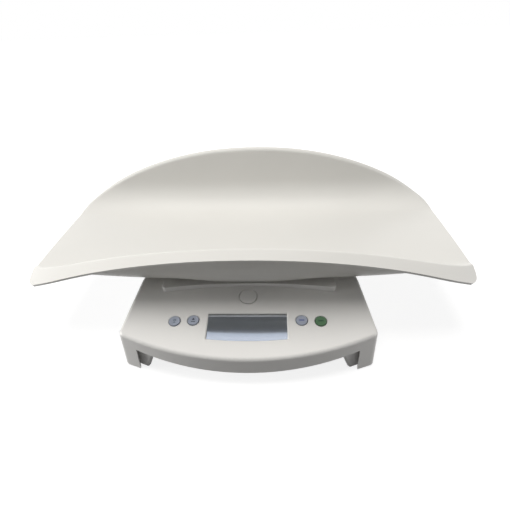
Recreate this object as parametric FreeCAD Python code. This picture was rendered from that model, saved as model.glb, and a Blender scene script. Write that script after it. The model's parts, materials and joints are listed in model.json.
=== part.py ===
"""Digital baby weighing scale: base with sloped panel, lift-off tray, keys, release button and feet.

Frame: millimetres, +X to the user's right, +Y from the user towards the back, +Z up.
The origin is on the floor, under the middle of the whole scale.
"""
import FreeCAD, Part
import math
import os

V = FreeCAD.Vector

# ---- base housing ---------------------------------------------------------------------------
FRONT_Y = -160.0            # foremost line of the curved front
REAR_Y = 118.0              # rear wall
HALF_FRONT = 152.0          # half width at the front corners
HALF_REAR = 112.0           # half width at the rear corners
FRONT_R = 372.0             # plan radius of the front
FRONT_CORNER_R = 9.0
REAR_CORNER_R = 14.0
TOP_EDGE_R = 5.0            # rounding of the upper edges
WALL = 2.6
PANEL_SLOPE = 16.3          # degrees
PANEL_FRONT_Z = 40.5        # panel height at the foremost line
PLATEAU_Z = 72.5
PLATEAU_BLEND_R = 35.0      # blend of the panel into the plateau
BAND_H = 20.5               # height of the front band at its middle
BAND_SLOPE = 26.5           # degrees, rise of its lower edge towards the legs
SKIRT_Z = 28.0              # lower edge of the housing away from the legs
LEG_GAP = 1.5               # legs end this far above the floor
LEG_W = 22.0                # front legs, from the front corner inwards
LEG_BACK_Y = -98.0          # rear edge of the front legs
REAR_LEG_W = 21.0
REAR_LEG_FRONT_Y = 92.0
PLATFORM_RISE = 0.8         # platform top above the plateau
PLATFORM_HALF = 109.0
PLATFORM_FRONT_Y = -62.0
PLATFORM_FRONT_R = 640.0
PLATFORM_REAR_Y = 104.0
PLATFORM_EDGE_R = 0.7
PLATFORM_CORNER_R = 5.0
PLATFORM_MARGIN = 2.0       # platform's rear corners inside the rounded edge
GROOVE_W = 0.7              # shadow groove along the platform's foot
GROOVE_D = 0.8

# ---- lower housing --------------------------------------------------------------------------
FLOOR_T = 2.4
LAP_CLEAR = 0.2             # lower housing inside the upper one
LAP_WALL = 2.2
LAP_TOP_Z = 40.0
BOSS_R = 4.0
SMALL_BOSS_R = 3.0
BOSS_JOIN_Z = 44.0
BOSS_SIDE_GAP = 13.0        # side bosses inside the lapping wall
SIDE_BOSS_Y = (-82.0, 5.0)
REAR_BOSS_X = 58.0
REAR_BOSS_GAP = 14.0        # rear bosses ahead of the rear wall
HEAD_SEAT = 6.0             # screw tip to the seat of its head, above the joint
RAIL_LAP = 2.2              # cover rails under the cover's edge

# ---- screws: shank length and radius, head radius and height ---------------------------------
HOUSING_SCREW = (12.0, 1.5, 2.8, 2.0)
BRACKET_SCREW = (8.0, 1.45, 2.6, 1.6)
TRAY_SCREW = (6.0, 1.45, 2.8, 1.7)
BOARD_SCREW = (6.5, 1.0, 2.2, 1.3)
CELL_SCREW = (5.0, 1.0, 2.0, 1.2)
FOOT_SCREW = (8.0, 1.0, 2.4, 1.4)
PILOT_CLEAR = 0.05
PILOT_END = 0.5             # pilot hole past the screw's tip
SCREW_CLEAR = 0.25          # round shanks that pass through
HEAD_CLEAR = 0.4
CROSS_W = 0.7               # cross recess: slot width, depth, and its length by the head's radius
CROSS_DEPTH = 0.6
CROSS_REACH = 0.6

# ---- panel parts, in the panel's own frame: v up the slope, w out of the panel ---------------
WINDOW_HALF = 47.2
WINDOW_V0 = 26.7
WINDOW_V1 = 61.1
WINDOW_BULGE = 2.6          # the lower edge bows towards the user
WINDOW_CHAMFER = 1.2
LENS_T = 1.5
LENS_MARGIN = 3.0
KEY_R = 6.9
KEY_CLEAR = 0.4
HOLE_CHAMFER = 0.5          # broken edge of the round holes in the panel
KEY_INNER_X = 64.3
KEY_OUTER_X = 86.6
KEY_INNER_V = 51.3
KEY_OUTER_V = 50.2
KEY_PROUD = 0.7
KEY_EDGE_R = 0.5
KEY_FLANGE_R = 9.2
KEY_FLANGE_T = 1.2
KEY_STOP = 0.4              # flange below the panel
KEY_DEPTH = 5.2             # underside of the key below the panel face
BUTTON_R = 11.0
BUTTON_CLEAR = 0.4
BUTTON_V = 86.1
BUTTON_PROUD = 0.3
BUTTON_EDGE_R = 0.25
BUTTON_CAP_T = 3.0
BUTTON_SKIRT = 4.6          # depth of the cap's rim
BUTTON_WALL = 1.8
BUTTON_FLANGE = 1.7         # flange past the cap
BUTTON_STEM_R = 5.0
BUTTON_STEM_L = 11.0
LCD_T = 2.8
LCD_MARGIN = 1.0            # glass wider than the window on each side
HOLDER_RIM = 3.0
HOLDER_LEDGE = 2.0
BOARD_T = 1.6
BOARD_W = -11.0             # upper face of the board
BOARD_HALF = 97.0
BOARD_V0 = 22.6
BOARD_V1 = 67.1
BOARD_SCREW_X = 91.0
BOARD_SCREW_IN = 5.0        # screws inside the board's long edges
STRIP_T = 2.4               # contact strips, and how far they stop short of the glass's ends
STRIP_END = 8.0
MAT_T = 1.2
MAT_DOME_R = 4.2
MAT_DOME_TAPER = 1.2
MAT_EDGE = 9.0              # mat past the keys' centres: ends and lower edge, upper edge
MAT_TOP_EDGE = 7.5
SEAT = 0.1                  # small seating clearance
SOCKET_H = 4.0
SOCKET_HALF_L = 6.0
SOCKET_HALF_W = 3.0
FRONT_SOCKET = (72.0, 15.5)     # right-hand socket: x, and v above the board's lower edge
REAR_SOCKET = (74.0, 36.5)
BATTERY_SOCKET = (0.0, 37.5)
LEAD_R = 0.9

# ---- parts under the board: middle x, v above the board's lower edge, half sizes, height -------
CHIPS = ((-26.0, 20.5, 6.0, 6.0, 1.6), (12.0, 21.5, 4.0, 3.0, 1.4), (27.0, 12.5, 3.0, 2.0, 1.2),
         (-2.5, 12.3, 5.5, 1.8, 3.2))
CAPACITORS = ((-46.0, 20.5, 3.0, 6.0), (-54.0, 20.5, 3.0, 6.0))     # x, v, radius, height
SOUNDER = (44.0, 20.5, 6.5, 3.6)
RESISTOR = (2.0, 1.2, 0.8)
RESISTOR_ROWS = (27.9, 30.9)
RESISTOR_COUNT = 8
RESISTOR_X0 = -16.0
RESISTOR_PITCH = 5.0

# ---- release latch --------------------------------------------------------------------------
SLIDER_Z0 = 55.2
SLIDER_T = 3.0
SLIDER_HALF = 11.0
SLIDER_REAR_Y = -25.0
SLIDER_NOSE = 4.5
SLIDER_NECK_HALF = 6.0
SLIDER_NECK_L = 10.0        # neck ahead of the button's axis
SLIDER_EDGE = 4.0           # slider ahead of the spring's window
LATCH_CLEAR = 0.2
SPRING_WINDOW = (-60.0, -36.0)
SPRING_R = 2.4
SPRING_WIRE_R = 0.4
SPRING_TURNS = 9
BRACKET_HALF = 14.0
BRACKET_T = 2.2
BRACKET_FRONT_Y = -66.0
BRACKET_REAR_Y = 18.0
BRACKET_FLANGE_Z = 61.0
BRACKET_EAR = 12.0
BRACKET_EAR_HALF = 5.0
BRACKET_SCREWS = (-46.0, 8.0)
GUIDES = ((-56.0, -46.0), (-38.0, -28.0))
GUIDE_LIP = 1.5             # guide's lip over the slider, and its thickness
TAB_T = 2.0                 # spring tab: thickness, half width, distance ahead of the window's end
TAB_HALF = 3.0
TAB_BACK = 4.0
TAB_RISE = 2.5
SPRING_HALF = 3.8           # half width of the spring's window
NUB_R = 1.4                 # spring nubs
NUB_L = 3.0
CLIP_WIRE_R = 1.0
CLIP_HALF = 4.3             # wire centre from the middle
CLIP_REAR_Y = 8.0
CLIP_FRONT_Y = -17.0
CLIP_SEAT_FRONT = 6.0       # clip's seat ahead of its bow
CLIP_FLARE = 2.6
CLIP_FLARE_L = 7.0

# ---- tray mount -----------------------------------------------------------------------------
POST_Y = -8.0
POST_R = 5.0
POST_GROOVE_R = 3.0
POST_HEAD_H = 4.0
POST_HEAD_STRAIGHT = 1.4
POST_HEAD_LIP = 0.9         # head past the groove
POST_TIP_R = 2.6
POST_FLANGE = (3.0, 2.0)    # past the post, and its thickness
GROOVE_CLEAR = 0.3
PEG_R = 5.0
PEG_X = 60.0
PEG_Y = 46.0
PEG_LEN = 12.0
PEG_CHAMFER = 1.2
PEG_CLEAR = 0.4
FRAME_HALF = 92.0
FRAME_Y0 = -34.0
FRAME_Y1 = 96.0
FRAME_PLATE_T = 2.4
FRAME_RIM_T = 2.4
FRAME_CORNER_R = 10.0
RIB_T = 2.0
RIB_X = 28.0
PAD_R = 9.0
PAD_INSET = 1.0
PAD_X = 78.0
PAD_Y = (-20.0, 82.0)
TRAY_BOSS_R = 5.0
TRAY_BOSS_X = 50.0
TRAY_BOSS_Y = (-18.0, 80.0)
MOUNT_GAP = 2.6             # frame plate above the platform

# ---- tray -----------------------------------------------------------------------------------
TRAY_HALF = 279.0
END_BOW = 6.0               # ends bow outwards in plan, most at END_BOW_Y, by this much in END_BOW_L
END_BOW_Y = 45.0
END_BOW_L = 100.0
TRAY_T = 3.0
TRAY_BOTTOM_Z = 82.0        # underside of the flat bed
BED_RISE = 4.5              # bed rises towards the ends
BED_FLAT_HALF = 115.0
FRONT_ARC_R = 25.0          # bed into front wall, inner face
FRONT_ARC_Y = -55.9         # start of that arc at the middle
FRONT_PLAN_R = 2170.0       # plan radius of the front wall
FRONT_LEAN = 80.8
FRONT_WALL_MIN = 2.0        # least straight wall between that arc and the crest
CREST_Z = 143.3
CREST_DROP = 49.7
CREST_POWER = 2.11
CREST_R = 6.0
LIP_W = (21.5, 24.5)        # turned-down lip, middle and ends
LIP_SLOPE = (18.0, 32.5)
LIP_CORNER = 15.0           # plan rounding of the lip's outer corners
RIM_CORNER = 16.0           # plan rounding where the back wall's rim meets the ends
KEEL_DROP = 3.2             # underside bulges over the platform
KEEL_HALF = 25.0
KEEL_BLEND = 75.0
KEEL_FADE = 22.0            # degrees of the front arc over which it fades
BACK_Y = 154.7              # inner face of the back wall at BACK_REF_Z
BACK_REF_Z = 180.0
BACK_LEAN = 87.1
BACK_ARC_R = 44.0
RIM_Z = 177.4
RIM_ARCH_R = 487.0
RIM_ROLL_R = 3.2
LIP_STEPS = 5               # steps along the section
LIP_CROWDING = 1.8          # steps crowd towards the lip's edge
CREST_STEPS = 5
FRONT_STEPS = 4
ARC_STEPS = 6
BED_STEPS = 8
BACK_STEPS = 14
RIM_STEPS = 4
RIM_LEAST = 2.0             # least height of the rim above the bed
RIM_TURN = 75.0             # most that the rim rolls over
TRAY_STATIONS = 17
STATION_CROWDING = 0.8      # stations crowd towards the ends as this nears 1

# ---- feet and load cells; pairs are at the foot's lower and upper end --------------------------
PAD_T = 2.5
PAD_SHRINK = 1.5            # pad inside the foot's lower face
FOOT_TOP_GAP = 0.6
FOOT_EDGE_R = 3.0
FOOT_STEM_R = 5.0
FOOT_HOLE_CLEAR = 1.0
FOOT_SIDE = (15.0, 11.0)    # inside the side skin
FOOT_INNER = (11.3, 21.0)   # past the inner edge of its leg
FOOT_FRONT = (6.4, 4.6)     # front feet behind the curved front
FRONT_FOOT_BACK = (8.0, 3.0)    # front feet inside the rear edge of the leg
REAR_FOOT_FRONT = (7.0, 12.0)   # rear feet past the front edge of the leg
REAR_FOOT_BACK = (13.0, 8.5)    # rear feet ahead of the rear wall
CELL_T = 2.0
CELL_X = 28.0
CELL_Y = 24.0
CELL_SEAT_Z = 33.4
CELL_ARM = 5.0
CELL_SLOT = 1.6
CELL_BAR = 4.0              # cross bars at the cell's front and rear
CELL_SCREW_IN = 3.0
FRONT_CELL_IN = (31.0, 13.0)    # inside the front corner, ahead of the leg's rear edge
REAR_CELL_IN = (23.0, 24.0)     # inside the rear corner's width and the rear wall

# ---- battery bay ----------------------------------------------------------------------------
CELL_R = 7.1                # AA cell
CELL_LEN = 50.0
CELL_PITCH = 15.4
CELL_GAP_END = 5.0          # room for the contacts at each end
BAY_Y0 = 26.0
BAY_WALL = 2.0
COVER_T = 2.2
COVER_GAP = 0.4
COVER_LAP = 3.0
GRIPS = (5, 3.0, 1.2, 14.0, 0.6)    # grip slots: count, pitch, width, half length, depth
GRIP_START = 5.0
RAIL_T = 2.0
BAY_SIDE = 0.6              # room beside the outer cells
CELL_TOP_GAP = 0.3
CELL_UNDER = 1.8            # room under and over the cells
NUB_SIZE = (2.7, 1.2)       # positive end: radius, height
CONTACT_HALF = 5.0
CONTACT_T = 0.5
CONTACT_DOME_R = 3.0
CONTACT_GAP = 0.1
CONE_RINGS = 4              # contact spring: rings, largest radius, step, wire
CONE_R = 4.4
CONE_STEP = 0.5
CONE_WIRE = 0.62

SIN = math.sin(math.radians(PANEL_SLOPE))
COS = math.cos(math.radians(PANEL_SLOPE))
TAN = SIN / COS
PLATFORM_Z = PLATEAU_Z + PLATFORM_RISE
FLOOR_Z = SKIRT_Z + FLOOR_T
LEG_INNER_X = HALF_FRONT - LEG_W
REAR_LEG_INNER_X = HALF_REAR - REAR_LEG_W
FAR = 200.0                 # beyond the housing on every side
CUT_OVER = 0.2              # cuts run this far past the surface that they leave by


# ---- helpers --------------------------------------------------------------------------------
def box(x0, x1, y0, y1, z0, z1):
    return Part.makeBox(x1 - x0, y1 - y0, z1 - z0, V(x0, y0, z0))


def post(x, y, z0, z1, r):
    return Part.makeCylinder(r, z1 - z0, V(x, y, z0))


def fused(shapes):
    result = shapes[0]
    if len(shapes) > 1:
        result = shapes[0].multiFuse(shapes[1:])
    return result.removeSplitter()


def cut(shape, tools):
    return shape.cut(tools[0].multiFuse(tools[1:]) if len(tools) > 1 else tools[0])


def prism(points, z0, z1):
    wire = Part.makePolygon([V(x, y, z0) for x, y in points] + [V(points[0][0], points[0][1], z0)])
    return Part.Face(wire).extrude(V(0, 0, z1 - z0))


def on_panel(shape):
    """Moves a shape from the panel's own frame (x, v, w) to its place on the base."""
    turned = shape.copy()
    turned.rotate(V(0, 0, 0), V(1, 0, 0), PANEL_SLOPE)
    turned.translate(V(0, FRONT_Y, PANEL_FRONT_Z))
    return turned


def upright_edges(shape):
    return [e for e in shape.Edges if abs(e.Vertexes[0].Z - e.Vertexes[-1].Z) > 1.0]


def save(name, shape):
    shape.exportStep(os.path.join("parts", name + ".step"))


def check(name, shape):
    print(name, "solids", len(shape.Solids), "valid", shape.isValid(), "volume %.0f" % shape.Volume)
    save(name, shape)


# ---- base housing ---------------------------------------------------------------------------
def panel_z(y, inset=0.0):
    return PANEL_FRONT_Z + TAN * (y - FRONT_Y) - inset / COS


def front_y(x, inset=0.0):
    """Plan line of the curved front at x."""
    return FRONT_Y + FRONT_R - math.sqrt((FRONT_R - inset) ** 2 - x * x)


def side_x(y, inset=0.0):
    """Half width of the tapering sides at y."""
    corner_y = front_y(HALF_FRONT)
    taper = (HALF_FRONT - HALF_REAR) / (REAR_Y - corner_y)
    return HALF_FRONT - inset * math.hypot(1.0, taper) - taper * (y - corner_y)


def corner(inset):
    """Front corner where the side line meets the front arc."""
    y = front_y(HALF_FRONT)
    for _ in range(30):
        y = front_y(side_x(y, inset), inset)
    return side_x(y, inset), y


def plan_prism(inset, z0, z1):
    x, y = corner(inset)
    rear = REAR_Y - inset
    xr = side_x(rear, inset)
    front = Part.Arc(V(-x, y, z0), V(0, front_y(0, inset), z0), V(x, y, z0)).toShape()
    sides = Part.makePolygon([V(x, y, z0), V(xr, rear, z0), V(-xr, rear, z0), V(-x, y, z0)])
    solid = Part.Face(Part.Wire([front] + sides.Edges)).extrude(V(0, 0, z1 - z0))
    fronts = [e for e in upright_edges(solid) if e.Vertexes[0].Y < 0]
    solid = solid.makeFillet(max(FRONT_CORNER_R - inset, 1.0), fronts)
    rears = [e for e in upright_edges(solid) if abs(e.Vertexes[0].Y - rear) < 0.01]
    return solid.makeFillet(max(REAR_CORNER_R - inset, 1.0), rears)


def roof_prism(inset, z0):
    """Everything below the sloped panel, its blend and the plateau."""
    plateau = PLATEAU_Z - inset
    radius = PLATEAU_BLEND_R - inset
    meet = FRONT_Y + (plateau - PANEL_FRONT_Z + inset / COS) / TAN
    half = math.radians(PANEL_SLOPE) / 2
    run = radius * math.tan(half)
    start = V(0, meet - run * COS, plateau - run * SIN)
    middle = V(0, meet + run - radius * math.sin(half), plateau - radius * (1 - math.cos(half)))
    end = V(0, meet + run, plateau)
    first = V(0, -FAR, panel_z(-FAR, inset))
    blend = Part.Arc(start, middle, end).toShape()
    runs = Part.makePolygon([end, V(0, FAR, plateau), V(0, FAR, z0), V(0, -FAR, min(z0, first.z - 1)), first, start])
    face = Part.Face(Part.Wire([blend] + runs.Edges))
    face.translate(V(-FAR, 0, 0))
    return face.extrude(V(2 * FAR, 0, 0))


def block(inset, z0):
    """Rounded block inside the housing's outer skin by inset."""
    solid = plan_prism(inset, z0, PLATEAU_Z + TOP_EDGE_R).common(roof_prism(inset, z0 - 1))
    rim = []
    for e in solid.Edges:
        middle = e.valueAt((e.FirstParameter + e.LastParameter) / 2)
        first, last = e.Vertexes[0], e.Vertexes[-1]
        upright = abs(first.X - last.X) < 0.01 and abs(first.Y - last.Y) < 0.01
        across = abs(middle.x) < 0.01 and corner(inset)[1] < middle.y < REAR_Y - inset - 1
        if middle.z > z0 + 1 and not upright and not across:
            rim.append(e)
    return solid.makeFillet(max(TOP_EDGE_R - inset, 1.0), rim)


def platform(grow=0.0):
    """Raised flat that the tray's pads rest on, down to the floor, wider all round by grow."""
    x = PLATFORM_HALF + grow
    y = platform_front(x) - grow
    rear_y = PLATFORM_REAR_Y + grow
    rear = side_x(PLATFORM_REAR_Y) - TOP_EDGE_R - PLATFORM_MARGIN + grow
    front = Part.Arc(V(-x, y, 0), V(0, PLATFORM_FRONT_Y - grow, 0), V(x, y, 0)).toShape()
    rest = Part.makePolygon([V(x, y, 0), V(rear, rear_y, 0), V(-rear, rear_y, 0), V(-x, y, 0)])
    solid = Part.Face(Part.Wire([front] + rest.Edges)).extrude(V(0, 0, PLATFORM_Z))
    solid = solid.makeFillet(PLATFORM_CORNER_R + grow, upright_edges(solid))
    top = [e for e in solid.Edges if e.Vertexes[0].Z > 1 and e.Vertexes[-1].Z > 1]
    return solid.makeFillet(PLATFORM_EDGE_R, top)


def platform_groove():
    """Narrow ring cut into the skin at the platform's foot."""
    ring = platform(GROOVE_W).cut(platform())
    return ring.cut(block(GROOVE_D, 0.0))


def platform_front(x):
    return PLATFORM_FRONT_Y - x * x / (2 * PLATFORM_FRONT_R)


def band_plane_cut(z_low):
    """Everything in front of the legs and under the front band, whose lower edge rises towards them."""
    rise = math.tan(math.radians(BAND_SLOPE))
    low = PANEL_FRONT_Z - BAND_H
    back = front_y(LEG_INNER_X, WALL) + CUT_OVER
    points = [V(0, -FAR, z_low), V(0, -FAR, low - (FAR + FRONT_Y) * rise),
              V(0, back, low + (back - FRONT_Y) * rise), V(0, back, SKIRT_Z),
              V(0, LEG_BACK_Y + 1, SKIRT_Z), V(0, LEG_BACK_Y + 1, z_low)]
    face = Part.Face(Part.makePolygon(points + [points[0]]))
    face.translate(V(-LEG_INNER_X, 0, 0))
    return face.extrude(V(2 * LEG_INNER_X, 0, 0))


def housing_bosses():
    """Middles of the six screw bosses that join the two housings."""
    places = [(side_x(y, WALL + LAP_CLEAR + LAP_WALL) - BOSS_SIDE_GAP, y) for y in SIDE_BOSS_Y]
    places.append((REAR_BOSS_X, REAR_Y - REAR_BOSS_GAP))
    return [(sx * x, y) for x, y in places for sx in (-1, 1)]


def bracket_screws():
    x = BRACKET_HALF + BRACKET_T + BRACKET_EAR / 2
    return [(sx * x, y) for y in BRACKET_SCREWS for sx in (-1, 1)]


def board_screws():
    return [(sx * BOARD_SCREW_X, v) for v in (BOARD_V0 + BOARD_SCREW_IN, BOARD_V1 - BOARD_SCREW_IN)
            for sx in (-1, 1)]


def keys():
    """Name, x and v of each key, from left to right."""
    return (("unit_key", -KEY_OUTER_X, KEY_OUTER_V), ("tare_key", -KEY_INNER_X, KEY_INNER_V),
            ("hold_key", KEY_INNER_X, KEY_INNER_V), ("start_key", KEY_OUTER_X, KEY_OUTER_V))


def window_face(grow, w):
    """Display opening in the panel: straight top and sides, lower edge bowed towards the user."""
    x = WINDOW_HALF + grow
    v0 = WINDOW_V0 - grow
    v1 = WINDOW_V1 + grow
    bow = Part.Arc(V(-x, v0, w), V(0, v0 - WINDOW_BULGE, w), V(x, v0, w)).toShape()
    rest = Part.makePolygon([V(x, v0, w), V(x, v1, w), V(-x, v1, w), V(-x, v0, w)])
    return Part.Face(Part.Wire([bow] + rest.Edges))


def window_cut():
    opening = window_face(0.0, -WALL - 1).extrude(V(0, 0, WALL + 2))
    top = window_face(WINDOW_CHAMFER, CUT_OVER).OuterWire
    low = window_face(0.0, -WINDOW_CHAMFER).OuterWire
    return opening.fuse(Part.makeLoft([low, top], True, True))


def pilot(x, y, z0, seat, size):
    """Hole from z0 up to the tip of the screw whose head bears at seat."""
    length, radius, _, _ = size
    return post(x, y, z0, seat + length + PILOT_END, radius + PILOT_CLEAR)


def pilot_down(x, y, seat, size):
    """Hole from the head's seat down to the tip of the screw."""
    length, radius, _, _ = size
    return post(x, y, seat - length - PILOT_END, seat, radius + PILOT_CLEAR)


def round_hole(x, v, radius, deep):
    """Hole in the panel with a broken upper edge, its axis square to the panel."""
    bore = post(x, v, -deep, CUT_OVER, radius)
    wide = radius + HOLE_CHAMFER + CUT_OVER
    rim = Part.makeCone(radius, wide, HOLE_CHAMFER + CUT_OVER, V(x, v, -HOLE_CHAMFER))
    return on_panel(bore.fuse(rim))


def upper_housing():
    skin = block(0.0, LEG_GAP).fuse(platform()).cut(block(WALL, -FLOOR_Z))
    skin = cut(skin, [
        box(-FAR, FAR, -FAR, FAR, -FLOOR_Z, LEG_GAP),
        band_plane_cut(-FLOOR_Z),
        box(-FAR, FAR, LEG_BACK_Y, REAR_LEG_FRONT_Y, -FLOOR_Z, SKIRT_Z),
        box(-REAR_LEG_INNER_X, REAR_LEG_INNER_X, 0, FAR, -FLOOR_Z, SKIRT_Z)])
    under_roof = PLATEAU_Z - WALL / 2
    under_panel = -WALL / 2
    added = []
    for x, y in housing_bosses():
        added.append(post(x, y, BOSS_JOIN_Z, PLATEAU_Z, BOSS_R).common(block(WALL / 2, 0.0)))
    for x, y in bracket_screws():
        added.append(post(x, y, BRACKET_FLANGE_Z + BRACKET_T, under_roof, SMALL_BOSS_R))
    for x, v in board_screws():
        added.append(on_panel(post(x, v, BOARD_W, under_panel, SMALL_BOSS_R)))
    shell = skin.multiFuse(added)
    holes = [on_panel(window_cut()), platform_groove()]
    for _, x, v in keys():
        holes.append(round_hole(x, v, KEY_R + KEY_CLEAR, 2 * WALL))
    holes.append(round_hole(0, BUTTON_V, BUTTON_R + BUTTON_CLEAR, 3 * WALL))
    for x, y in housing_bosses():
        holes.append(pilot(x, y, BOSS_JOIN_Z - 1, housing_head_z(), HOUSING_SCREW))
    for x, y in bracket_screws():
        holes.append(pilot(x, y, BRACKET_FLANGE_Z, BRACKET_FLANGE_Z, BRACKET_SCREW))
    for x, v in board_screws():
        holes.append(on_panel(pilot(x, v, BOARD_W - 1, BOARD_W - BOARD_T, BOARD_SCREW)))
    for sx in (-1, 1):
        holes.append(post(sx * PEG_X, PEG_Y, PLATEAU_Z - 2 * WALL, PLATFORM_Z + 1, PEG_R + PEG_CLEAR))
    holes.append(post(0, POST_Y, PLATEAU_Z - 2 * WALL, PLATFORM_Z + 1, POST_R + PEG_CLEAR))
    return cut(shell, holes)


def cell_arms(cx, cy):
    """Middles of the two long arms of a load cell."""
    return [cx + sx * (CELL_X - CELL_ARM) / 2 for sx in (-1, 1)]


def cover_rails():
    """L-shaped rails under the base that the battery cover slides in."""
    half, y0, y1 = bay_size()
    y0 -= COVER_LAP
    y1 += COVER_LAP
    low = SKIRT_Z - COVER_GAP - COVER_T - COVER_GAP
    x_in = half + COVER_LAP + COVER_GAP
    parts = []
    for sx in (-1, 1):
        web = sorted((sx * x_in, sx * (x_in + RAIL_T)))
        lip = sorted((sx * (x_in - RAIL_LAP), sx * (x_in + RAIL_T)))
        parts.append(box(web[0], web[1], y0, y1, low - RAIL_T, SKIRT_Z + FLOOR_T / 2))
        parts.append(box(lip[0], lip[1], y0, y1, low - RAIL_T, low))
    return parts


def lower_housing():
    inset = WALL + LAP_CLEAR
    outer = block(inset, SKIRT_Z).common(box(-FAR, FAR, -FAR, FAR, SKIRT_Z, LAP_TOP_Z))
    pan = outer.cut(block(inset + LAP_WALL, FLOOR_Z))
    half, y0, y1 = bay_size()
    top = bay_top()
    wall = BAY_WALL
    added = [box(-half - wall, half + wall, y0 - wall, y1 + wall, SKIRT_Z, top + wall)]
    added += cover_rails()
    for x, y in housing_bosses():
        added.append(post(x, y, SKIRT_Z, BOSS_JOIN_Z, BOSS_R))
    for cx, cy in cells():
        for x in cell_arms(cx, cy):
            added.append(box(x - CELL_ARM / 2, x + CELL_ARM / 2, cy - CELL_Y / 2, cy + CELL_Y / 2,
                             SKIRT_Z, CELL_SEAT_Z))
    pan = pan.multiFuse(added)
    holes = [box(-half, half, y0, y1, SKIRT_Z - 1, top)]
    _, radius, head_r, _ = HOUSING_SCREW
    for x, y in housing_bosses():
        holes.append(post(x, y, SKIRT_Z - 1, BOSS_JOIN_Z + 1, radius + SCREW_CLEAR))
        holes.append(post(x, y, SKIRT_Z - 1, housing_head_z(), head_r + HEAD_CLEAR))
    for x, y in cells():
        holes.append(post(x, y, SKIRT_Z - 1, FLOOR_Z + 1, FOOT_STEM_R + FOOT_HOLE_CLEAR))
    for x, y in cell_screws():
        holes.append(pilot_down(x, y, CELL_SEAT_Z + CELL_T, CELL_SCREW))
    return cut(pan, holes)


def housing_head_z():
    """Where the housing screws' heads bear inside the lower bosses."""
    return BOSS_JOIN_Z + HEAD_SEAT - HOUSING_SCREW[0]


def housing_screws():
    seat = housing_head_z()
    return Part.makeCompound([pan_screw(x, y, seat, 1, HOUSING_SCREW) for x, y in housing_bosses()])


def pan_screw(x, y, seat, up, size):
    """Screw with its head's bearing face at z=seat and its shank going up (1) or down (-1)."""
    length, r, head_r, head_h = size
    shank = Part.makeCylinder(r, length, V(x, y, seat), V(0, 0, up))
    head = Part.makeCylinder(head_r, head_h, V(x, y, seat), V(0, 0, -up))
    top = seat - up * head_h
    reach = head_r * CROSS_REACH
    half = CROSS_W / 2
    cross = [box(x - reach, x + reach, y - half, y + half, top - CROSS_DEPTH, top + CROSS_DEPTH),
             box(x - half, x + half, y - reach, y + reach, top - CROSS_DEPTH, top + CROSS_DEPTH)]
    return cut(shank.fuse(head), cross)


# ---- feet, load cells, battery bay -----------------------------------------------------------
def corners():
    """Name and signs of the four corners."""
    return (("front_left", -1, -1), ("front_right", 1, -1), ("rear_left", -1, 1), ("rear_right", 1, 1))


def cell_place(sx, sy):
    """Middle of the load cell at a corner."""
    if sy < 0:
        x, y = HALF_FRONT - FRONT_CELL_IN[0], LEG_BACK_Y - FRONT_CELL_IN[1]
    else:
        x, y = HALF_REAR - REAR_CELL_IN[0], REAR_Y - REAR_CELL_IN[1]
    return sx * x, y


def cells():
    return [cell_place(sx, sy) for _, sx, sy in corners()]


def cell_screws():
    """One screw near the rear end of each arm of each cell."""
    return [(arm, y + CELL_Y / 2 - CELL_SCREW_IN) for x, y in cells() for arm in cell_arms(x, y)]


def foot_outline(sx, sy, end):
    """Four corners of a foot's section at its lower (0) or upper (1) end, inside the leg around it."""
    if sy < 0:
        x_in = LEG_INNER_X - FOOT_INNER[end]
        x_out = HALF_FRONT - FOOT_SIDE[end]
        rear = LEG_BACK_Y - FRONT_FOOT_BACK[end]
        fronts = (front_y(x_in) + FOOT_FRONT[end], front_y(x_out) + FOOT_FRONT[end])
    else:
        x_in = REAR_LEG_INNER_X - FOOT_INNER[end]
        rear = REAR_Y - REAR_FOOT_BACK[end]
        x_out = side_x(rear) - FOOT_SIDE[end]
        fronts = (REAR_LEG_FRONT_Y - REAR_FOOT_FRONT[end],) * 2
    return [(sx * x_in, fronts[0]), (sx * x_out, fronts[1]), (sx * x_out, rear), (sx * x_in, rear)]


def closed(points, z):
    """Closed polygon through plan points at height z."""
    return Part.makePolygon([V(x, y, z) for x, y in points + points[:1]])


def foot(sx, sy):
    low = closed(foot_outline(sx, sy, 0), PAD_T)
    high = closed(foot_outline(sx, sy, 1), SKIRT_Z - FOOT_TOP_GAP)
    solid = Part.makeLoft([low, high], True, True)
    solid = solid.makeFillet(FOOT_EDGE_R, upright_edges(solid))
    x, y = cell_place(sx, sy)
    solid = solid.fuse(post(x, y, SKIRT_Z - FOOT_TOP_GAP - 1, CELL_SEAT_Z, FOOT_STEM_R))
    return solid.cut(pilot_down(x, y, CELL_SEAT_Z + CELL_T, FOOT_SCREW)).removeSplitter()


def foot_pad(sx, sy):
    """Rubber pad on the foot's lower face, inside its edges."""
    points = foot_outline(sx, sy, 0)
    cx = sum(x for x, _ in points) / len(points)
    cy = sum(y for _, y in points) / len(points)
    inner = [(x + math.copysign(PAD_SHRINK, cx - x), y + math.copysign(PAD_SHRINK, cy - y)) for x, y in points]
    solid = Part.Face(closed(inner, 0.0)).extrude(V(0, 0, PAD_T))
    return solid.makeFillet(FOOT_EDGE_R - PAD_SHRINK / 2, upright_edges(solid))


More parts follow.
